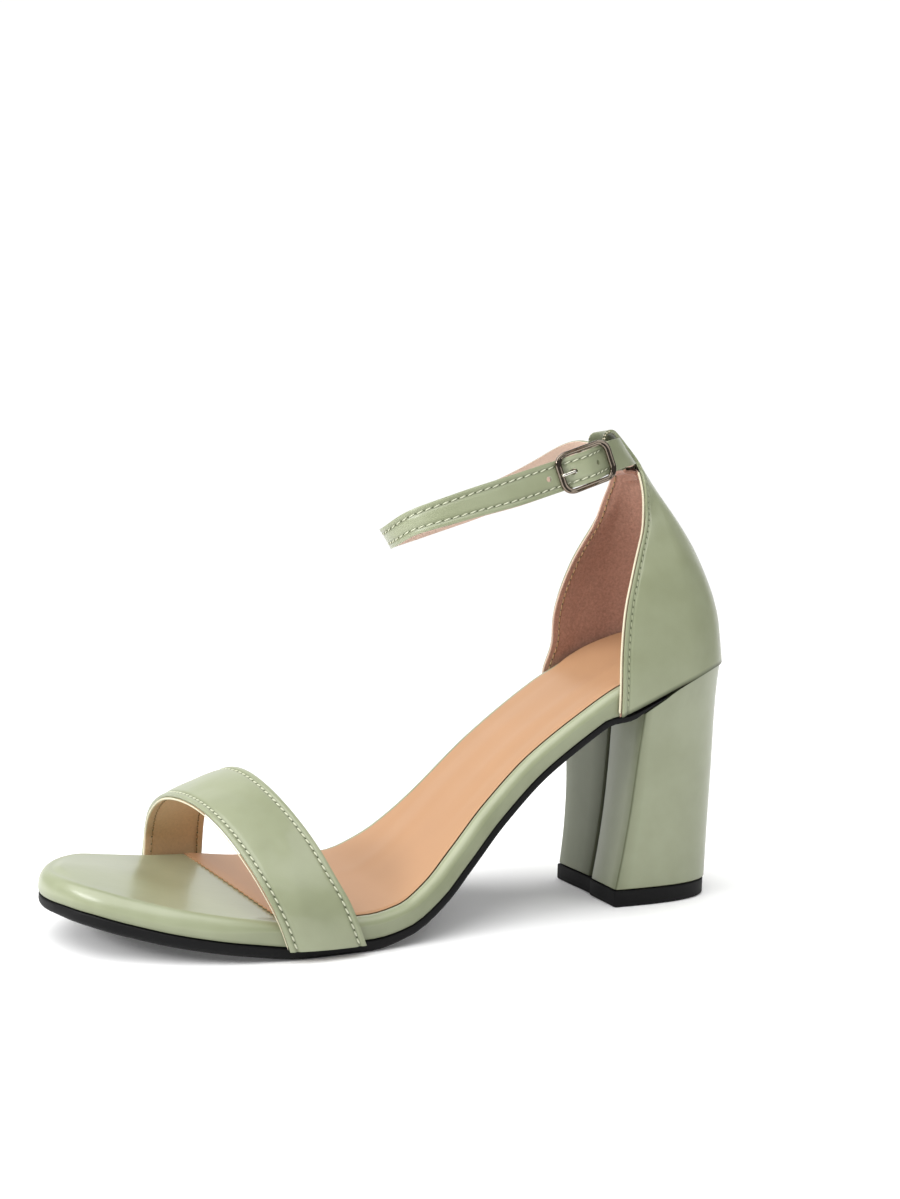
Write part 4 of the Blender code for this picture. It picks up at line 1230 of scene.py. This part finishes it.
class SANDAL_OT_outsole(bpy.types.Operator):
    """Black outsole with a softened tread edge"""

    bl_idname = "sandal.outsole"
    bl_label = "Outsole"

    def execute(self, context):
        piece = sole_layer("outsole_rubber", outsole_rows, outsole_outset, OUTSOLE_END)
        hand_over(piece, "rubber", ["black_rubber"], "outsole")
        return {"FINISHED"}


class SANDAL_OT_platform(bpy.types.Operator):
    """Wrapped platform with its rounded rim and the bed for the sock"""

    bl_idname = "sandal.platform"
    bl_label = "Platform"

    def execute(self, context):
        bed_row = len(platform_rows(0.0)) - len(BED_SHARES) - 1

        # Painted shade: darker on the lowest rows of the board, and in the gap of the bed beside the sock
        def shade(x, row):
            if row < len(BOARD_SHADES):
                return BOARD_SHADES[row]
            return BED_SHADE * smooth_step(x, *BESIDE_SOCK) if row >= bed_row else 0.0

        piece = sole_layer("platform_wrap", platform_rows, lambda x: 0.0, SOLE_LENGTH, shade)
        hand_over(piece, "wrap", ["sage_coating"], "platform")
        return {"FINISHED"}


class SANDAL_OT_insole(bpy.types.Operator):
    """Sock on the footbed, with a pinked front edge"""

    bl_idname = "sandal.insole"
    bl_label = "Insole"

    def execute(self, context):
        along = 150
        across = 60
        last = SOLE_LENGTH - 0.01

        def place(u, v):
            station = math.sin(0.5 * math.pi * u)
            side = 0.5 - 0.5 * math.cos(math.pi * v)
            lateral_x = mix(INSOLE_FRONT_LATERAL, last, station)
            medial_x = mix(INSOLE_FRONT_MEDIAL, last, station)
            lateral = sole_edge(lateral_x, -1, -insole_inset(lateral_x) - SOCK_PLAY)
            medial = sole_edge(medial_x, 1, -insole_inset(medial_x) - SOCK_PLAY)
            p = lateral.lerp(medial, side)
            edge = min((p - lateral).length, (p - medial).length)
            drop = SOCK_EDGE_DROP * max(0.0, 1.0 - edge / SOCK_EDGE) ** 2
            # The pared front edge is pinked, and glued down on the platform
            if u == 0.0:
                tooth = PINKING if round(v * across) % 2 else -PINKING
                p.x = mix(INSOLE_FRONT_LATERAL, INSOLE_FRONT_MEDIAL, side) + tooth
                drop = SEAM_GAP
            drop += SOCK_CUP_DEPTH * smooth_step(p.x, *SOCK_CUP) * math.sin(math.pi * side) ** 2
            for middle, width, height, start, end in SOCK_RIDGES:
                reach = smooth_step(p.x, start, start + SOCK_RIDGE_FADE)
                reach *= 1.0 - smooth_step(p.x, end - SOCK_RIDGE_FADE, end)
                drop -= height * reach * bell(p.y - middle - SOCK_RIDGE_DRIFT * (p.x - start), width)
            return sole_place(p.x, p.y, drop - insole_top(p.x))

        piece = lay_grid("insole_sock", along, across, place)
        close_seams(piece)
        lining_layer(piece, SOCK_THICKNESS * MM)
        hand_over(piece, "sock", ["sock_leather", "cut_edge"], "insole")
        return {"FINISHED"}


def heel_seam(section):
    """Place across the breast where the lateral panel laps over the medial one."""
    return -section.lateral * (HEEL_SEAM_FOOT + HEEL_SEAM_FLARE * section.height)


def heel_ring(section, grown=0.0):
    """Plan of the heel at one height: round back and sides, soft front corners and the lap of its wrap.

    The top piece, which is grown past the heel, has the step of the lap but not its open seam.
    """
    ring = []
    for degrees in evenly(-90.0, 90.0, 65):
        angle = math.radians(degrees)
        half = section.medial if angle > 0 else section.lateral
        forward = abs(math.cos(angle)) ** (2.0 / section.square)
        aside = math.copysign(abs(math.sin(angle)) ** (2.0 / section.square), angle)
        ring.append(Vector((mix(section.breast_x, section.back_x, forward), half * aside)))
    ring = [p for p in ring if p.x > section.breast_x + HEEL_CORNER]
    turns = [math.radians(degrees) for degrees in (0, 22.5, 45, 67.5, 90)]
    corner = [(HEEL_CORNER * (1.0 - math.sin(t)), HEEL_CORNER * (1.0 - math.cos(t))) for t in turns]
    seam = heel_seam(section)
    opened = (1.0 if grown else HEEL_SEAM_OPEN) * HEEL_WRAP_STEP
    breast = [(back, section.medial - aside) for back, aside in corner]
    breast += [(0.08, 0.75 * section.medial), (0.3, 0.5 * section.medial), (0.7, 0.25 * section.medial)]
    breast += [(HEEL_WRAP_STEP, seam + 4.2), (HEEL_WRAP_STEP, seam + 3.2)]
    breast += [(opened, seam + off) for off in (2.8, 1.6, 0.9, 0.15)]
    breast += [(0.5, seam), (0.12, seam - 0.15), (0.0, seam - 0.5)]
    breast += [(0.0, mix(seam, -section.lateral, 0.4)), (0.0, mix(seam, -section.lateral, 0.75))]
    breast += [(back, aside - section.lateral) for back, aside in reversed(corner)]
    ring += [Vector((section.breast_x + back, y)) for back, y in breast]
    if grown:
        middle = Vector((mix(section.breast_x, section.back_x, 0.5), 0.0))
        ring = [p + (p - middle).normalized() * grown for p in ring]
    return ring


def heel_shade(p, section):
    """Painted shade on the breast: the painted shadow of the wrap's lap on the medial panel, and a painted
    dark line of shade at the lateral corner.

    Round the sides and back the wrap gets a little painted shade, which darkens those lit sides.
    """
    if p.x > section.breast_x + 2.0:
        return HEEL_SIDE_SHADE
    off = p.y - heel_seam(section)
    if off > -0.05:
        return min(0.24 + 0.3 * bell(off, 8.0) + 0.6 * bell(off, 3.0), 0.98)
    line = 0.5 * bell(p.y + section.lateral - 0.35, 0.35)
    return line + (HEEL_SIDE_SHADE if p.x > section.breast_x + 0.65 else 0.16)


class SANDAL_OT_heel(bpy.types.Operator):
    """Block heel in its wrap, lapped on the breast"""

    bl_idname = "sandal.heel"
    bl_label = "Heel"

    def execute(self, context):
        heights = column(HEEL, "height")
        columns = [smooth_through(heights, column(HEEL, name)) for name in HeelSection._fields]
        levels = [0.0, 0.004, 0.012] + [i / 24 for i in range(1, 24)] + [0.985, 0.993, 0.996, 1.0]
        sections = [HeelSection(*(at(h) for at in columns)) for h in levels]
        rings = [heel_ring(section) for section in sections]
        # Every ring gets the same number of points, by repeating its last corner
        count = max(len(ring) for ring in rings)
        rings = [ring + [ring[-1]] * (count - len(ring)) for ring in rings]
        foot = TOP_PIECE_HEIGHT + SEAM_GAP
        top = len(levels) - 1
        # Number of the level, and share of the way to the middle, of each row
        rows = [(0, 1.0)] + [(k, 0.012 if h in (0.0, 1.0) else 0.0) for k, h in enumerate(levels)]
        rows += [(top, 0.06), (top, 0.07), (top, 1.0)]

        def place(i, k):
            level, inwards = rows[k]
            p = rings[level][i % count].lerp(HEEL_MIDDLE, inwards)
            meets = SEAM_GAP - CLOSED_SEAM if k >= len(rows) - 2 else 0.0
            return Vector((p.x, p.y, mix(foot, seat_height(p.x), levels[level]) + meets))

        def shade(i, k):
            level = rows[k][0]
            # Painted shadow line along the heel's top, where it meets the counter
            seat = 0.85 if levels[level] > 0.995 else 0.0
            return max(seat, heel_shade(rings[level][i % count], sections[level]))

        piece = lay_rings("heel_wrap", count, len(rows) - 1, place, shade)
        hand_over(piece, "wrap", ["sage_coating"], "heel_block")
        return {"FINISHED"}


class SANDAL_OT_top_piece(bpy.types.Operator):
    """Rubber top piece under the heel"""

    bl_idname = "sandal.top_piece"
    bl_label = "Top piece"

    def execute(self, context):
        section = HEEL[0]._replace(back_x=HEEL[0].back_x - TOP_PIECE_BACK_STEP)
        top = TOP_PIECE_HEIGHT
        seat = top + SEAM_GAP - CLOSED_SEAM
        # Height, growth past the heel and share of the way to the middle of each row
        rows = [
            (0.0, -0.1, 1.0),
            (0.0, -0.1, 0.0),
            (0.15, 0.25, 0.0),
            (0.5, TOP_PIECE_EDGE, 0.0),
            (0.5 * top, TOP_PIECE_EDGE, 0.0),
            (top - 0.25, TOP_PIECE_EDGE, 0.0),
            (top, TOP_PIECE_EDGE - 0.3, 0.0),
            (top, 0.1, 0.06),
            (seat, 0.1, 0.07),
            (seat, 0.1, 1.0),
        ]
        rings = [heel_ring(section, row[1]) for row in rows]
        count = len(rings[0])

        def place(i, k):
            p = rings[k][i % count].lerp(TOP_PIECE_MIDDLE, rows[k][2])
            return Vector((p.x, p.y, rows[k][0]))

        piece = lay_rings("top_piece_rubber", count, len(rows) - 1, place)
        hand_over(piece, "rubber", ["black_rubber"], "heel_top_piece")
        return {"FINISHED"}


class SANDAL_OT_vamp(bpy.types.Operator):
    """Vamp band: coated face, lining and its stitch rows"""

    bl_idname = "sandal.vamp"
    bl_label = "Vamp band"

    def execute(self, context):
        surface = VampSurface()
        inset = sizes().stitch_inset / MM
        under = sizes().face / MM + LAYER_GAP

        def shade(u, v):
            width = (surface.smooth_at(u, 1.0) - surface.smooth_at(u, 0.0)).length
            v = toward_edges(v)
            return stitch_shade(min(v, 1.0 - v) * width, inset)

        def beneath(u, v):
            """The lining's front edge draws back behind the face towards the lateral foot."""
            v *= mix(0.97, 1.0, smooth_step(u, *VAMP_LINING_SHOWS))
            crown = 4.0 * v * (1.0 - v) * VAMP_CROWN
            normal = surface_normal(surface.smooth_at, u, v)
            return surface.smooth_at(u, v) + normal * (crown - under)

        piece = lay_grid("vamp_face", 150, 56, lambda u, v: surface.at(u, toward_edges(v)), shade)
        rounded_layer(piece, sizes().face, FACE_EDGE * MM)
        hand_over(piece, "upper", ["sage_coating", "sage_coating"], "vamp_strap")
        lining = lay_grid("vamp_lining", 150, 18, beneath)
        lining_layer(lining, sizes().lining)
        hand_over(lining, "upper", ["vamp_lining", "cut_edge"])
        edge = []
        radii = []
        for u in evenly(0.002, 0.998, 161):
            edge.append(surface.at(u, 1.0) - surface_normal(surface.smooth_at, u, 0.99) * (under + 0.1))
            radii.append(mix(THIN_BINDING, BINDING, smooth_step(u, *VAMP_LINING_SHOWS)))
        bind("vamp_binding", edge, radii, "cut_edge")
        rear = []
        front = []
        for u in evenly(0.004, 0.996, 240):
            share = inset / (surface.at(u, 1.0) - surface.at(u, 0.0)).length
            rear.append((u, share))
            front.append((u, 1.0 - share))
        through = (sizes().face + sizes().lining) / MM + 0.1
        outside, inside = sewn_rows(surface, (rear, front), through)
        sew("vamp_stitches", outside, sizes().upper_pitch, "thread")
        sew("vamp_lining_stitches", inside, sizes().upper_pitch, "lining_thread")
        return {"FINISHED"}


def pink_tab(surface):
    """Pinked edges of the tab's flap: teeth that show the pale backing."""
    places = []
    first = (len(COUNTER) + 4.5) / surface.last_row
    last = (len(COUNTER) + TAB_FOLD_STEPS + 4.6) / surface.last_row
    for u in (0.0, 1.0):
        trace = []
        for v in evenly(first, last, 60):
            inwards = surface_normal(surface.smooth_at, u, v) * (0.5 * sizes().face / MM)
            trace.append((surface.smooth_at(u, v) - inwards, Vector((0.0, 2.0 * u - 1.0, 0.0))))
        places += stitch_places(trace, TOOTH_PITCH)
    bpy.ops.object.select_all(action="DESELECT")
    bpy.ops.mesh.primitive_cone_add(vertices=4, radius1=TOOTH_RADIUS * MM, depth=TOOTH_PITCH * MM)
    tooth = bpy.context.object
    pinking = set_of("tab_pinking", tooth, places)
    bpy.data.objects.remove(tooth, do_unlink=True)
    hand_over(pinking, "upper", ["cut_edge"])


class SANDAL_OT_counter(bpy.types.Operator):
    """Counter with its folded tab: coated face, brushed lining and edge stitches"""

    bl_idname = "sandal.counter"
    bl_label = "Counter"

    def execute(self, context):
        surface = CounterSurface()
        inset = sizes().stitch_inset / MM
        under = sizes().face / MM + LAYER_GAP
        lining_top = (len(COUNTER) - 0.6) / surface.last_row

        def shade(u, v):
            u = toward_edges(u)
            row = v * surface.last_row
            # Painted shade: a shadow line at the foot, the flap that hangs in shade, darker towards the
            # bottom of the body, and the stitch troughs
            foot = 0.8 * (1.0 - smooth_step(row, 0.0, 0.07))
            fold = 0.75 * smooth_step(row, len(COUNTER) + 3.0, len(COUNTER) + 8.0)
            body = 0.06 * (1.0 - smooth_step(row, 4.0, 9.0))
            return max(foot, fold, body, surface.sewn(v) * stitch_shade(surface.from_edge(u, v), inset))

        def beneath(u, v):
            """The lining stands off the face in a soft roll beside its edges."""
            v *= lining_top
            roll = 0.4 * bell(surface.from_edge(u, v) - 4.5, 4.5)
            return surface.smooth_at(u, v) - surface_normal(surface.smooth_at, u, v) * (under + roll)

        piece = lay_grid("counter_face", 120, 160, lambda u, v: surface.at(toward_edges(u), v), shade)
        # The end of the flap shows its brushed side
        shares = piece.data.uv_layers.active.data
        flap_shows = (len(COUNTER) + TAB_FOLD_STEPS + 5.2) / surface.last_row
        for polygon in piece.data.polygons:
            if min(shares[i].uv.y for i in polygon.loop_indices) > flap_shows:
                polygon.material_index = 2
        rounded_layer(piece, sizes().face, FACE_EDGE * MM)
        hand_over(piece, "upper", ["sage_coating", "sage_coating", "counter_lining"], "heel_counter")
        pink_tab(surface)
        lining = lay_grid("counter_lining", 100, 90, beneath)
        lining_layer(lining, sizes().lining)
        hand_over(lining, "upper", ["counter_lining", "cut_edge"])
        lines = []
        for u, inner_u, name, edge_finish in (
            (0.0, 0.01, "counter_binding_lateral", "cut_edge"),
            (1.0, 0.99, "counter_binding_medial", "strap_lining"),
        ):
            edge = []
            for v in evenly(0.004, lining_top, 121):
                p = surface.smooth_at(u, v)
                inwards = surface_normal(surface.smooth_at, u, v) * (under + 0.15)
                forward = (p - surface.smooth_at(inner_u, v)).normalized() * 0.35
                edge.append(p - inwards + forward)
            bind(name, edge, [BINDING] * len(edge), edge_finish)
            reach = surface.reach[round(u)]
            marks = evenly(0.01, len(COUNTER) / surface.last_row, COUNTER_ROW)
            lines.append([(abs(u - inset / reach(v)), v) for v in marks])
        through = (sizes().face + sizes().lining) / MM + LAYER_GAP
        outside, inside = sewn_rows(surface, lines, through)
        sew("counter_stitches", outside, sizes().upper_pitch, "dark_thread")
        # Inside, the rows end below the flap
        inside = [row[:COUNTER_LINING_ROW] for row in inside]
        sew("counter_lining_stitches", inside, sizes().upper_pitch, "lining_thread")
        return {"FINISHED"}


def strap_bands(strap):
    """Bands of the end that turns round the bar, then of the strap from there to its tail.

    Each is its middle, upward edge, outer face, width and share of the sewn margin.
    """
    place, run, up, out, width = strap.frame(0.0)
    bar = place + out * (FRAME_STAND - BAR_DROP)
    turn = BAR_RADIUS + SEAM_GAP + STRAP_THICKNESS / 2
    bands = []
    for degrees in range(140, -91, -7):
        angle = math.radians(degrees)
        spoke = -run * math.cos(angle) + out * math.sin(angle)
        bands.append((bar + spoke * turn, up, -spoke, width, 0.0))
    for distance in evenly(3.0, strap.end(), 421):
        bands.append((*strap.band(distance), smooth_step(distance, *STRAP_SEWN)))
    return bands


def punch_holes(strap, layers):
    """Cut the hole that the prong goes through, and the free one on each side of it."""
    matrix = buckle_matrix(strap)
    foot, tip = prong_ends()
    reach = PRONG_HOLE_SHARE * FRAME_LENGTH / 2
    along = (matrix.to_3x3() @ (tip - foot)).normalized()
    places = [(matrix @ foot.lerp(tip, reach / -tip.x), along)]
    for offset in (-HOLE_PITCH, HOLE_PITCH):
        middle, up, face, width = strap.band(strap.length - reach + offset)
        places.append((middle, face))
    for point, axis in places:
        bpy.ops.object.select_all(action="DESELECT")
        bpy.ops.mesh.primitive_cylinder_add(vertices=20, radius=HOLE_RADIUS * MM, depth=HOLE_DEPTH * MM)
        cutter = bpy.context.object
        turned = axis.to_track_quat("Z", "Y").to_matrix().to_4x4()
        cutter.matrix_world = Matrix.Translation((point - ORIGIN) * MM) @ turned
        for layer in layers:
            modify(layer, "BOOLEAN", operation="DIFFERENCE", object=cutter)
        bpy.data.objects.remove(cutter, do_unlink=True)
    for layer in layers:
        smooth(layer, LAYER_ANGLE)


class SANDAL_OT_ankle_strap(bpy.types.Operator):
    """Ankle strap: coated band, lining, punched holes and stitch rows"""

    bl_idname = "sandal.ankle_strap"
    bl_label = "Ankle strap"

    def execute(self, context):
        strap = StrapSurface()
        inset = 0.85 * sizes().stitch_inset / MM
        bands = strap_bands(strap)
        last = len(bands) - 1

        def outer(u, v):
            middle, up, face, width, sewn = bands[round(u * last)]
            across = 2.0 * toward_edges(v) - 1.0
            margin = sewn_margin((1.0 - abs(across)) * width / 2, inset)
            proud = STRAP_THICKNESS / 2 - LAYER_GAP + 0.6 * sewn * margin
            return middle + up * (across * width / 2) + face * proud

        def shade(u, v):
            middle, up, face, width, sewn = bands[round(u * last)]
            across = 2.0 * toward_edges(v) - 1.0
            # Painted shade: a little over the plain band between buckle and tab, and in the stitch troughs of
            # the sewn part
            return mix(0.16, 0.8 * stitch_shade((1.0 - abs(across)) * width / 2, inset), sewn)

        def beneath(u, v):
            middle, up, face, width, sewn = bands[round(u * last)]
            return middle + up * ((v - 0.5) * width) + face * (STRAP_THICKNESS / 2 - STRAP_FACE - 0.16)

        piece = lay_grid("ankle_strap_face", last, 26, outer, shade)
        rounded_layer(piece, STRAP_FACE * MM, STRAP_EDGE * MM)
        lining = lay_grid("ankle_strap_lining", last, 10, beneath)
        lining_layer(lining, sizes().lining)
        punch_holes(strap, (piece, lining))
        hand_over(piece, "upper", ["sage_coating", "sage_coating"], "ankle_strap")
        hand_over(lining, "upper", ["strap_lining", "cut_edge"])
        rows = []
        for side in (-1.0, 1.0):
            trace = []
            for distance in evenly(STRAP_SEWN[1], strap.length + FRAME_LENGTH / 2 - 0.5, 420):
                middle, up, face, width = strap.band(distance)
                across = up * (side * (width / 2 - inset))
                trace.append((middle + across + face * (STRAP_THICKNESS / 2 - 0.26), face))
            rows.append(trace)
        sew("ankle_strap_stitches", rows, sizes().strap_pitch, "thread", STRAP_THREAD)
        return {"FINISHED"}


class SANDAL_OT_buckle(bpy.types.Operator):
    """Plated buckle frame with its bar, and the prong"""

    bl_idname = "sandal.buckle"
    bl_label = "Buckle"

    def execute(self, context):
        matrix = buckle_matrix(StrapSurface())
        corner_x = FRAME_LENGTH / 2 - FRAME_CORNER
        corner_y = FRAME_WIDTH / 2 - FRAME_CORNER
        points = []
        spread = []
        for quarter, (sign_x, sign_y) in enumerate(((1, 1), (-1, 1), (-1, -1), (1, -1))):
            for step in range(10):
                angle = math.radians(90.0 * quarter + 10.0 * step)
                spoke = Vector((math.cos(angle), math.sin(angle), 0.0)) * FRAME_CORNER
                points.append(matrix @ (Vector((sign_x * corner_x, sign_y * corner_y, 0.0)) + spoke))
                spread.append(mix(1.0, 1.4, smooth_step(abs(math.cos(angle)), 0.3, 1.0)))
        up = matrix.to_3x3() @ Vector((0.0, 1.0, 0.0))
        out = matrix.to_3x3() @ Vector((0.0, 0.0, 1.0))
        wires = [FRAME_WIRE] * len(points)
        rim = tube("buckle_rim", points, wires, 32, out, closed=True, roundness=0.85, spread=spread,
                   groove=0.5)
        reach = FRAME_WIDTH / 2 - 0.2
        ends = [matrix @ Vector((0.0, reach * share, -BAR_DROP)) for share in (-1.0, -0.99, 0.0, 0.99, 1.0)]
        bar = tube("buckle_bar", ends, [0.0, BAR_RADIUS, BAR_RADIUS, BAR_RADIUS, 0.0], 14, out)
        hand_over(rim, "buckle", ["gunmetal"], "buckle_frame")
        hand_over(bar, "buckle", ["gunmetal"])
        foot, tip = prong_ends()
        curl = BAR_RADIUS + SEAM_GAP + PRONG_RADIUS
        path = []
        for degrees in range(-200, 91, 10):
            angle = math.radians(degrees)
            path.append(Vector((curl * math.cos(angle), 0.0, curl * math.sin(angle) - BAR_DROP)))
        path += [foot.lerp(tip, i / 12) for i in range(1, 13)]
        radii = [PRONG_RADIUS] * len(path)
        radii[0] = 0.0
        radii[-1] = 0.0
        radii[-2] = 0.8 * PRONG_RADIUS
        prong = tube("prong_pin", [matrix @ p for p in path], radii, 14, up)
        hand_over(prong, "buckle", ["nickel"], "buckle_prong")
        return {"FINISHED"}


def hang(lamp, place, away):
    """Put a lamp at its place, shining against the direction away."""
    light = bpy.data.objects.new(lamp.name, lamp)
    light.location = place
    light.rotation_euler = away.to_track_quat("Z", "Y").to_euler()
    bpy.context.scene.collection.objects.link(light)


class SANDAL_OT_stage(bpy.types.Operator):
    """Pale floor, soft studio light and the camera"""

    bl_idname = "sandal.stage"
    bl_label = "Stage"

    def execute(self, context):
        bpy.ops.object.select_all(action="DESELECT")
        bpy.ops.mesh.primitive_plane_add(size=8.0)
        floor = context.object
        floor.name = "floor"
        tree, shader = new_material("pale_floor")
        wire(tree, shader, Base_Color=toned(colours().floor), Roughness=0.7, Emission_Color=WHITE,
             Emission_Strength=0.09)
        floor.data.materials.append(bpy.data.materials["pale_floor"])
        scene = context.scene
        scene.view_settings.view_transform = "Standard"
        scene.world = bpy.data.worlds.new("studio")
        scene.world.use_nodes = True
        tree = scene.world.node_tree
        backdrop = tree.nodes["Background"]
        # White backdrop behind the shoe, and a dimmer room on the other sides
        heading = add_node(tree, "ShaderNodeTexCoord").outputs["Generated"]
        ahead = add_node(tree, "ShaderNodeVectorMath", {"operation": "DOT_PRODUCT"}, i0=heading,
                         i1=CAMERA_FORWARD)
        strength = add_node(tree, "ShaderNodeMapRange", {"interpolation_type": "SMOOTHSTEP"},
                            Value=ahead.outputs["Value"], From_Min=0.45, From_Max=0.82, To_Min=0.16,
                            To_Max=1.05)
        # The room itself is never seen: every view has the white backdrop
        seen = add_node(tree, "ShaderNodeLightPath").outputs["Is Camera Ray"]
        shown = add_node(tree, "ShaderNodeMath", {"operation": "MAXIMUM"}, i0=seen,
                         i1=strength.outputs["Result"])
        wire(tree, backdrop, Color=WHITE, Strength=shown.outputs["Value"])
        overhead = bpy.data.lights.new("overhead", "SUN")
        overhead.energy = 3.2
        overhead.angle = math.radians(70.0)
        hang(overhead, Vector(), Vector((-0.50, -0.10, 0.86)))
        for name, place, long, short, watts in LAMPS:
            lamp = bpy.data.lights.new(name, "AREA")
            lamp.shape = "RECTANGLE"
            lamp.size = long
            lamp.size_y = short
            lamp.energy = watts
            hang(lamp, Vector(place), Vector(place) - LAMPS_AIM)
        lens = bpy.data.cameras.new("camera")
        lens.lens = CAMERA_LENS_MM
        lens.clip_start = 0.01
        scene.camera = bpy.data.objects.new("camera", lens)
        turned = Matrix((CAMERA_RIGHT, CAMERA_UP, -CAMERA_FORWARD)).transposed().to_4x4()
        scene.camera.matrix_world = Matrix.Translation((CAMERA_PLACE - ORIGIN) * MM) @ turned
        scene.collection.objects.link(scene.camera)
        return {"FINISHED"}


class SANDAL_PT_panel(bpy.types.Panel):
    """Steps that build the sandal, and its sizes and colours"""

    bl_idname = "SANDAL_PT_panel"
    bl_label = "Heeled sandal"
    bl_space_type = "VIEW_3D"
    bl_region_type = "UI"
    bl_category = "Sandal"

    def draw(self, context):
        for group in (sizes(), colours()):
            box = self.layout.box()
            for name in group.__annotations__:
                box.prop(group, name)
        for operator in OPERATORS:
            self.layout.operator(operator.bl_idname)


OPERATORS = (
    SANDAL_OT_outsole,
    SANDAL_OT_platform,
    SANDAL_OT_insole,
    SANDAL_OT_heel,
    SANDAL_OT_top_piece,
    SANDAL_OT_vamp,
    SANDAL_OT_counter,
    SANDAL_OT_ankle_strap,
    SANDAL_OT_buckle,
    SANDAL_OT_stage,
)
CLASSES = (SandalSizes, SandalColours, *OPERATORS, SANDAL_PT_panel)


def register():
    for made in CLASSES:
        bpy.utils.register_class(made)
    bpy.types.Scene.sandal_sizes = bpy.props.PointerProperty(type=SandalSizes)
    bpy.types.Scene.sandal_colours = bpy.props.PointerProperty(type=SandalColours)


def unregister():
    del bpy.types.Scene.sandal_colours
    del bpy.types.Scene.sandal_sizes
    for made in reversed(CLASSES):
        bpy.utils.unregister_class(made)


def main():
    register()
    bpy.ops.sandal.outsole()
    bpy.ops.sandal.platform()
    bpy.ops.sandal.insole()
    bpy.ops.sandal.heel()
    bpy.ops.sandal.top_piece()
    bpy.ops.sandal.vamp()
    bpy.ops.sandal.counter()
    bpy.ops.sandal.ankle_strap()
    bpy.ops.sandal.buckle()
    bpy.ops.sandal.stage()


if __name__ == "__main__":
    main()
